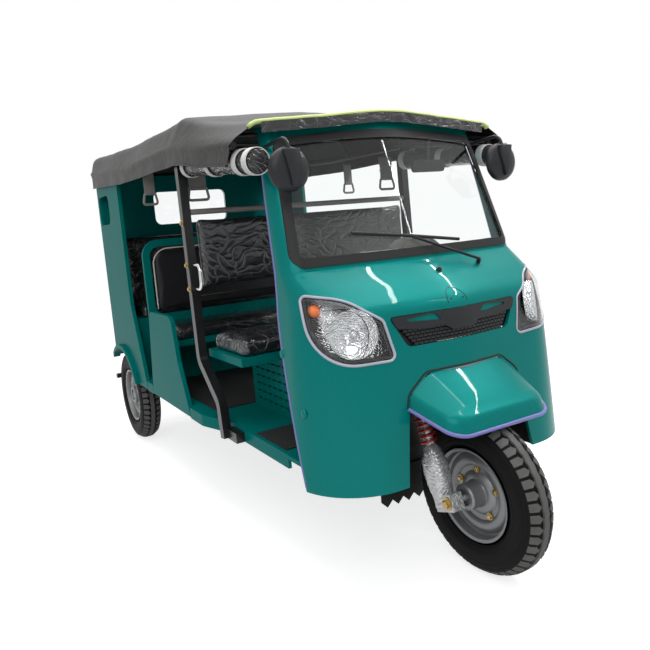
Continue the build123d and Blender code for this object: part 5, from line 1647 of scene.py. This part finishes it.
@dataclass
class Mirrors(Assembly):
    """Round mirrors on bent arms from the roof's front corners."""

    at: tuple = (-0.474, -0.905, 1.397)
    root: tuple = (-0.4774, -0.745, 1.49)
    knee: tuple = (-0.474, -0.905, 1.502)
    radius: float = 0.073
    arm_r: float = 0.0065

    def build(self) -> None:
        """Make the domed backs, the faces and the arms."""
        at, r = Vector(self.at), self.radius
        profile = [(-0.013, r - 0.006), (-0.016, r - 0.003), (-0.016, r), (-0.006, r), (0.004, r - 0.006),
                   (0.012, r - 0.02), (0.0165, r - 0.045), (0.017, 0.0)]
        back = revolve("back", profile, at, -Y_AXIS, 48, False)
        corners = [Vector(self.root), Vector(self.knee), at + Vector((0, 0, r - 0.01))]
        path = fillet(corners, [0, 0.04, 0], 8, False)
        arm = tube("arm", spread(path, 0.01), self.arm_r, up=X_AXIS)
        rib = [(-0.03, 0.062), (0.03, 0.062), (0.03, 0.03), (0.006, -0.055), (-0.006, -0.055),
               (-0.024, 0.03)]
        ridge = prism("ridge", [at + Vector((x, -0.005, z)) for x, z in rib], Vector((0, -0.021, 0)))
        modify(ridge, "BEVEL", width=0.003, segments=2)
        backs = paired("mirror_backs", join("mirror", [back, arm, ridge]))
        self.dress(sharpen(backs, 35), PLASTIC, "black_plastic", "mirrors")
        face = revolve("face", [(-0.0145, r - 0.005), (-0.0125, 0.0)], at, -Y_AXIS, 48, False)
        self.dress(paired("mirror_faces", face), MIRROR, "black_plastic")


@dataclass
class Fittings(Assembly):
    """Small fixed pieces: bolts, hand straps, flap edge, piping, washer jet and inner mirror."""

    cowl: Optional[Cowl] = None
    post_x: float = 0.5985
    bolt_size: float = 0.009
    straps: tuple = (((-0.575, 0.326, 1.43), 0.026), ((-0.5, -0.13, 1.41), 0.038))
    jet_at: tuple = (0.02, 1.02)

    def build(self) -> None:
        """Make each small piece."""
        self.bolts()
        straps = [self.handle(Vector(at), half) for at, half in self.straps]
        self.dress(paired("hand_straps", join("straps", straps)), GREY, "grey_plastic")
        self.flap()
        self.piping()
        profile = [(-0.004, 0.011), (0.002, 0.011), (0.006, 0.008), (0.012, 0.006), (0.014, 0)]
        at, lean = self.cowl.front(*self.jet_at), Vector((0, -0.62, 0.78))
        jet = revolve("washer_jet", profile, at, lean, 20, False)
        self.dress(jet, PLASTIC, "black_plastic")
        corners = [(0.150, 1.382), (0.300, 1.382), (0.306, 1.402), (0.300, 1.428), (0.150, 1.428),
                   (0.144, 1.402)]
        glass = fillet([Vector((x, -0.748, z)) for x, z in corners], [0.012] * len(corners), 5, True)
        shell = prism("inner_mirror", glass, Vector((0, -0.014, 0)))
        stalk = tube("stalk", [(0.225, -0.755, 1.42), (0.225, -0.762, 1.47), (0.225, -0.775, 1.53)], 0.006)
        self.dress(sharpen(join("inner_mirror", [shell, stalk]), 35), PLASTIC, "black_plastic")

    def bolts(self) -> None:
        """Put three bolts on each middle post."""
        places = [(-0.182 + 0.0305 * (z - 0.69), z) for z in (0.995, 1.095)] + [(-0.166, 1.27)]
        heads = [
            bolt("bolt", Vector((side * self.post_x, y, z)), X_AXIS * side, self.bolt_size)
            for side in SIDES
            for y, z in places
        ]
        self.dress(join("post_bolts", heads), BRASS, "chrome_tube")

    def flap(self) -> None:
        """Hang the toothed rubber edge from the front of the mud flap."""
        half, top, root, tip, teeth = 0.2, 0.3, 0.182, 0.158, 8
        step = 2 * half / teeth
        outline = [(-half, top), (half, top)]
        for k in range(teeth):
            outline += [(half - step * k, root), (half - step * (k + 0.5), tip)]
        outline.append((-half, root))
        points = [Vector((x, -0.8775, z)) for x, z in outline]
        edge = prism("mud_flap_edge", points, Vector((0, -0.005, 0)))
        self.dress(edge, RUBBER, "black_rubber")

    def piping(self) -> None:
        """Run the pale piping round the middle backrest and the tube over the driver's backrest."""
        low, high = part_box("mid_backrest")
        x, y, z = high.x - 0.014, low.y + 0.006, high.z - 0.012
        corners = [Vector(c) for c in ((-x, y, low.z + 0.03), (-x, y, z), (x, y, z), (x, y, low.z + 0.03))]
        line = spread(fillet(corners, [0, 0.085, 0.085, 0], 10, False), 0.02)
        self.dress(tube("mid_back_piping", line, 0.0032, sides=8, up=Y_AXIS), WHITE, "white_strap")
        low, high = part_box("driver_backrest")
        rail = [Vector((side * 0.585, (low.y + high.y) / 2, high.z + 0.013)) for side in SIDES]
        self.dress(tube("driver_back_rail", spread(rail, 0.05), 0.012), GREY, "black_steel")

    def handle(self, at: Vector, half: float) -> Obj:
        """Make a hand strap: a flat band with a moulded loop below a place.

        Args:
            at: middle of the band's lower end.
            half: half the band's width.

        Returns:
            The strap.
        """
        band = [at + Vector((x, 0, z)) for x, z in ((-half, 0), (half, 0), (half, 0.11), (-half, 0.11))]
        strip = prism("band", band, Vector((0, 0.003, 0)))
        corners = [(-half, 0.004), (-half - 0.01, -0.046), (half + 0.01, -0.046), (half, 0.004)]
        points = [at + Vector((x, 0.0015, z)) for x, z in corners]
        loop = fillet(points, [0.006, 0.012, 0.012, 0.006], 6, True)
        return join("handle", [strip, tube("loop", loop, 0.006, closed=True, flat=0.7, up=Y_AXIS)])


# Studio


@dataclass
class Studio:
    """Floor, soft lights and the photograph's camera."""

    place: tuple = (-1.4621, -2.6918, 1.2053)
    yaw: float = 28.651
    pitch: float = 6.949
    roll: float = -5.03
    lens: float = 34.715
    shift: tuple = (0.04, -0.03)
    ambient: float = 0.4
    floor_half: float = 14.0
    floor_glow: float = 0.74

    def build(self) -> None:
        """Set the whole stage."""
        self.camera()
        self.world()
        self.floor()
        self.light("key", (-3.2, -4.2, 4.4), (0.0, -0.4, 0.7), (4.0, 4.0), 110)
        self.light("top", (0.0, 0.2, 4.6), (0.0, 0.0, 0.5), (4.0, 5.0), 150)
        self.light("tube_far", (1.95, -0.75, 3.05), (0.0, -1.0, 0.95), (2.4, 0.05), 34)
        self.light("tube_next", (1.3, -1.0, 3.5), (0.0, -1.0, 0.95), (2.0, 0.04), 16)
        self.light("tube_screen", (1.75, -2.85, 2.85), (-0.1, -0.87, 1.33), (0.05, 0.9), 7)

    def camera(self) -> None:
        """Place the camera where the photograph was taken."""
        yaw, pitch, roll = (math.radians(v) for v in (self.yaw, self.pitch, self.roll))
        ahead = Vector((math.sin(yaw) * math.cos(pitch), math.cos(yaw) * math.cos(pitch), -math.sin(pitch)))
        right = ahead.cross(Z_AXIS).normalized()
        up = right.cross(ahead)
        turned = right * math.cos(roll) + up * math.sin(roll)
        above = up * math.cos(roll) - right * math.sin(roll)
        data = bpy.data.cameras.new("photo_camera")
        data.lens, data.sensor_width = self.lens, 36
        data.shift_x, data.shift_y = self.shift
        camera = placed("photo_camera", data)
        camera.matrix_world = Matrix((
            (turned.x, above.x, -ahead.x, self.place[0]),
            (turned.y, above.y, -ahead.y, self.place[1]),
            (turned.z, above.z, -ahead.z, self.place[2]),
            (0, 0, 0, 1),
        ))
        bpy.context.scene.camera = camera
        bpy.context.scene.view_settings.view_transform = "Standard"

    def seen(self, tree: Tree) -> Socket:
        """Return a value that is 1 for rays that look at the background themselves.

        Args:
            tree: node tree that takes the nodes.

        Returns:
            The value's socket.
        """
        path = add_node(tree, "LightPath", {})
        value = path["Is Camera Ray"]
        for kind in ("Is Glossy Ray", "Is Transmission Ray"):
            value = add_node(tree, "Math", {0: value, 1: path[kind]}, operation="MAXIMUM")[0]
        return value

    def world(self) -> None:
        """Give a white background with a plain level of light from all round."""
        world = bpy.data.worlds.new("studio")
        world.use_nodes = True
        tree = world.node_tree
        base = tree.nodes["Background"]
        base.inputs["Color"].default_value = (1, 1, 1, 1)
        base.inputs["Strength"].default_value = self.ambient
        white = add_node(tree, "Background", {"Color": (1, 1, 1, 1), "Strength": 1.0})
        mix = add_node(tree, "MixShader", {"Fac": self.seen(tree), 1: base.outputs[0], 2: white[0]})
        tree.links.new(mix[0], tree.nodes["World Output"].inputs["Surface"])
        bpy.context.scene.world = world

    def floor(self) -> None:
        """Lay a pale floor that keeps the vehicle's shadow."""
        side = self.floor_half
        corners = [(-side, -side, 0), (side, -side, 0), (side, side, 0), (-side, side, 0)]
        plane = mesh_piece("floor", corners, [(0, 1, 2, 3)])
        pale = Finish("pale_floor", (0.6, 0.6, 0.6), 0.9, mottle=0.01, bump=0.02).material()
        tree = pale.node_tree
        shader = tree.nodes["Principled BSDF"]
        shader.inputs["Emission Color"].default_value = (1, 1, 1, 1)
        level = add_node(tree, "Math", {0: self.seen(tree), 1: self.floor_glow}, operation="MULTIPLY")
        tree.links.new(level[0], shader.inputs["Emission Strength"])
        plane.data.materials.append(pale)

    def light(self, name: str, at: tuple, to: tuple, size: tuple, watts: float) -> None:
        """Add one soft area light that points at a place.

        Args:
            name: name of the light.
            at: its place.
            to: place that it points at.
            size: its two sides.
            watts: its power.
        """
        data = bpy.data.lights.new(name, "AREA")
        data.shape = "RECTANGLE"
        data.size, data.size_y = size
        data.energy = watts
        lamp = placed(name, data)
        lamp.location = at
        lamp.rotation_euler = (Vector(to) - Vector(at)).to_track_quat("-Z", "Y").to_euler()


FRAME_FINISHES: dict[Finish, tuple[str, ...]] = {
    TEAL: ("roof_header",),
    # The side and inner panels take the darker teal copy, whose colour is painted shade.
    TEAL_SHADED_SATIN: ("side_panels", "quarter_panels", "rear_wall", "floor_pan", "driver_seat_box",
                 "mid_bench_frame", "rear_seat_box"),
    BLACK_STEEL: ("post_frame", "chassis_frame", "wheel_housing", "rear_wheel_housings", "roof_frame",
                  "rear_axle", "leaf_springs", "drive_shaft", "exhaust", "rear_bumper", "handlebar"),
    CAST: ("engine_block",),
    RUBBER: ("windscreen_seal", "mud_flap", "wiper"),
    MAT: ("floor_mats",),
    GREY: ("dashboard",),
    GLASS: ("windscreen_glass", "rear_window"),
    RED_LENS: ("tail_lamps",),
    CHROME: ("grab_handles",),
    WRAP: ("fork",),
    WHITE: ("curtain_straps",),
}


def main() -> None:
    """Build the looks around the frame and set the stage."""
    logging.basicConfig(level=logging.INFO)
    for finish, nodes in FRAME_FINISHES.items():
        for node in nodes:
            paint(node, finish)
    cowl = Cowl()
    pieces: list = [
        cowl,
        Lamps(cowl=cowl),
        Grille(cowl=cowl),
        Mudguard(cowl=cowl),
        Canopy(),
        Curtains(),
        Fork(),
        Mirrors(),
        Seat(node="driver_cushion"),
        Seat(node="mid_cushion"),
        Seat(node="rear_cushion"),
        Seat(node="driver_backrest", flat_low=False),
        Seat(node="mid_backrest", finish=VINYL, flat_low=False),
        Seat(node="rear_backrest", flat_low=False),
        RoadWheel("front_wheel"),
        RoadWheel("rear_wheel_right", "rear_right", -0.53, 1.182, -1, 0.052, 0.045),
        RoadWheel("rear_wheel_left", "rear_left", 0.53, 1.182, 1, 0.052, 0.045),
        Fittings(cowl=cowl),
        Studio(),
    ]
    for piece in pieces:
        LOG.info("building %s", type(piece).__name__)
        piece.build()


if __name__ == "__main__":
    main()
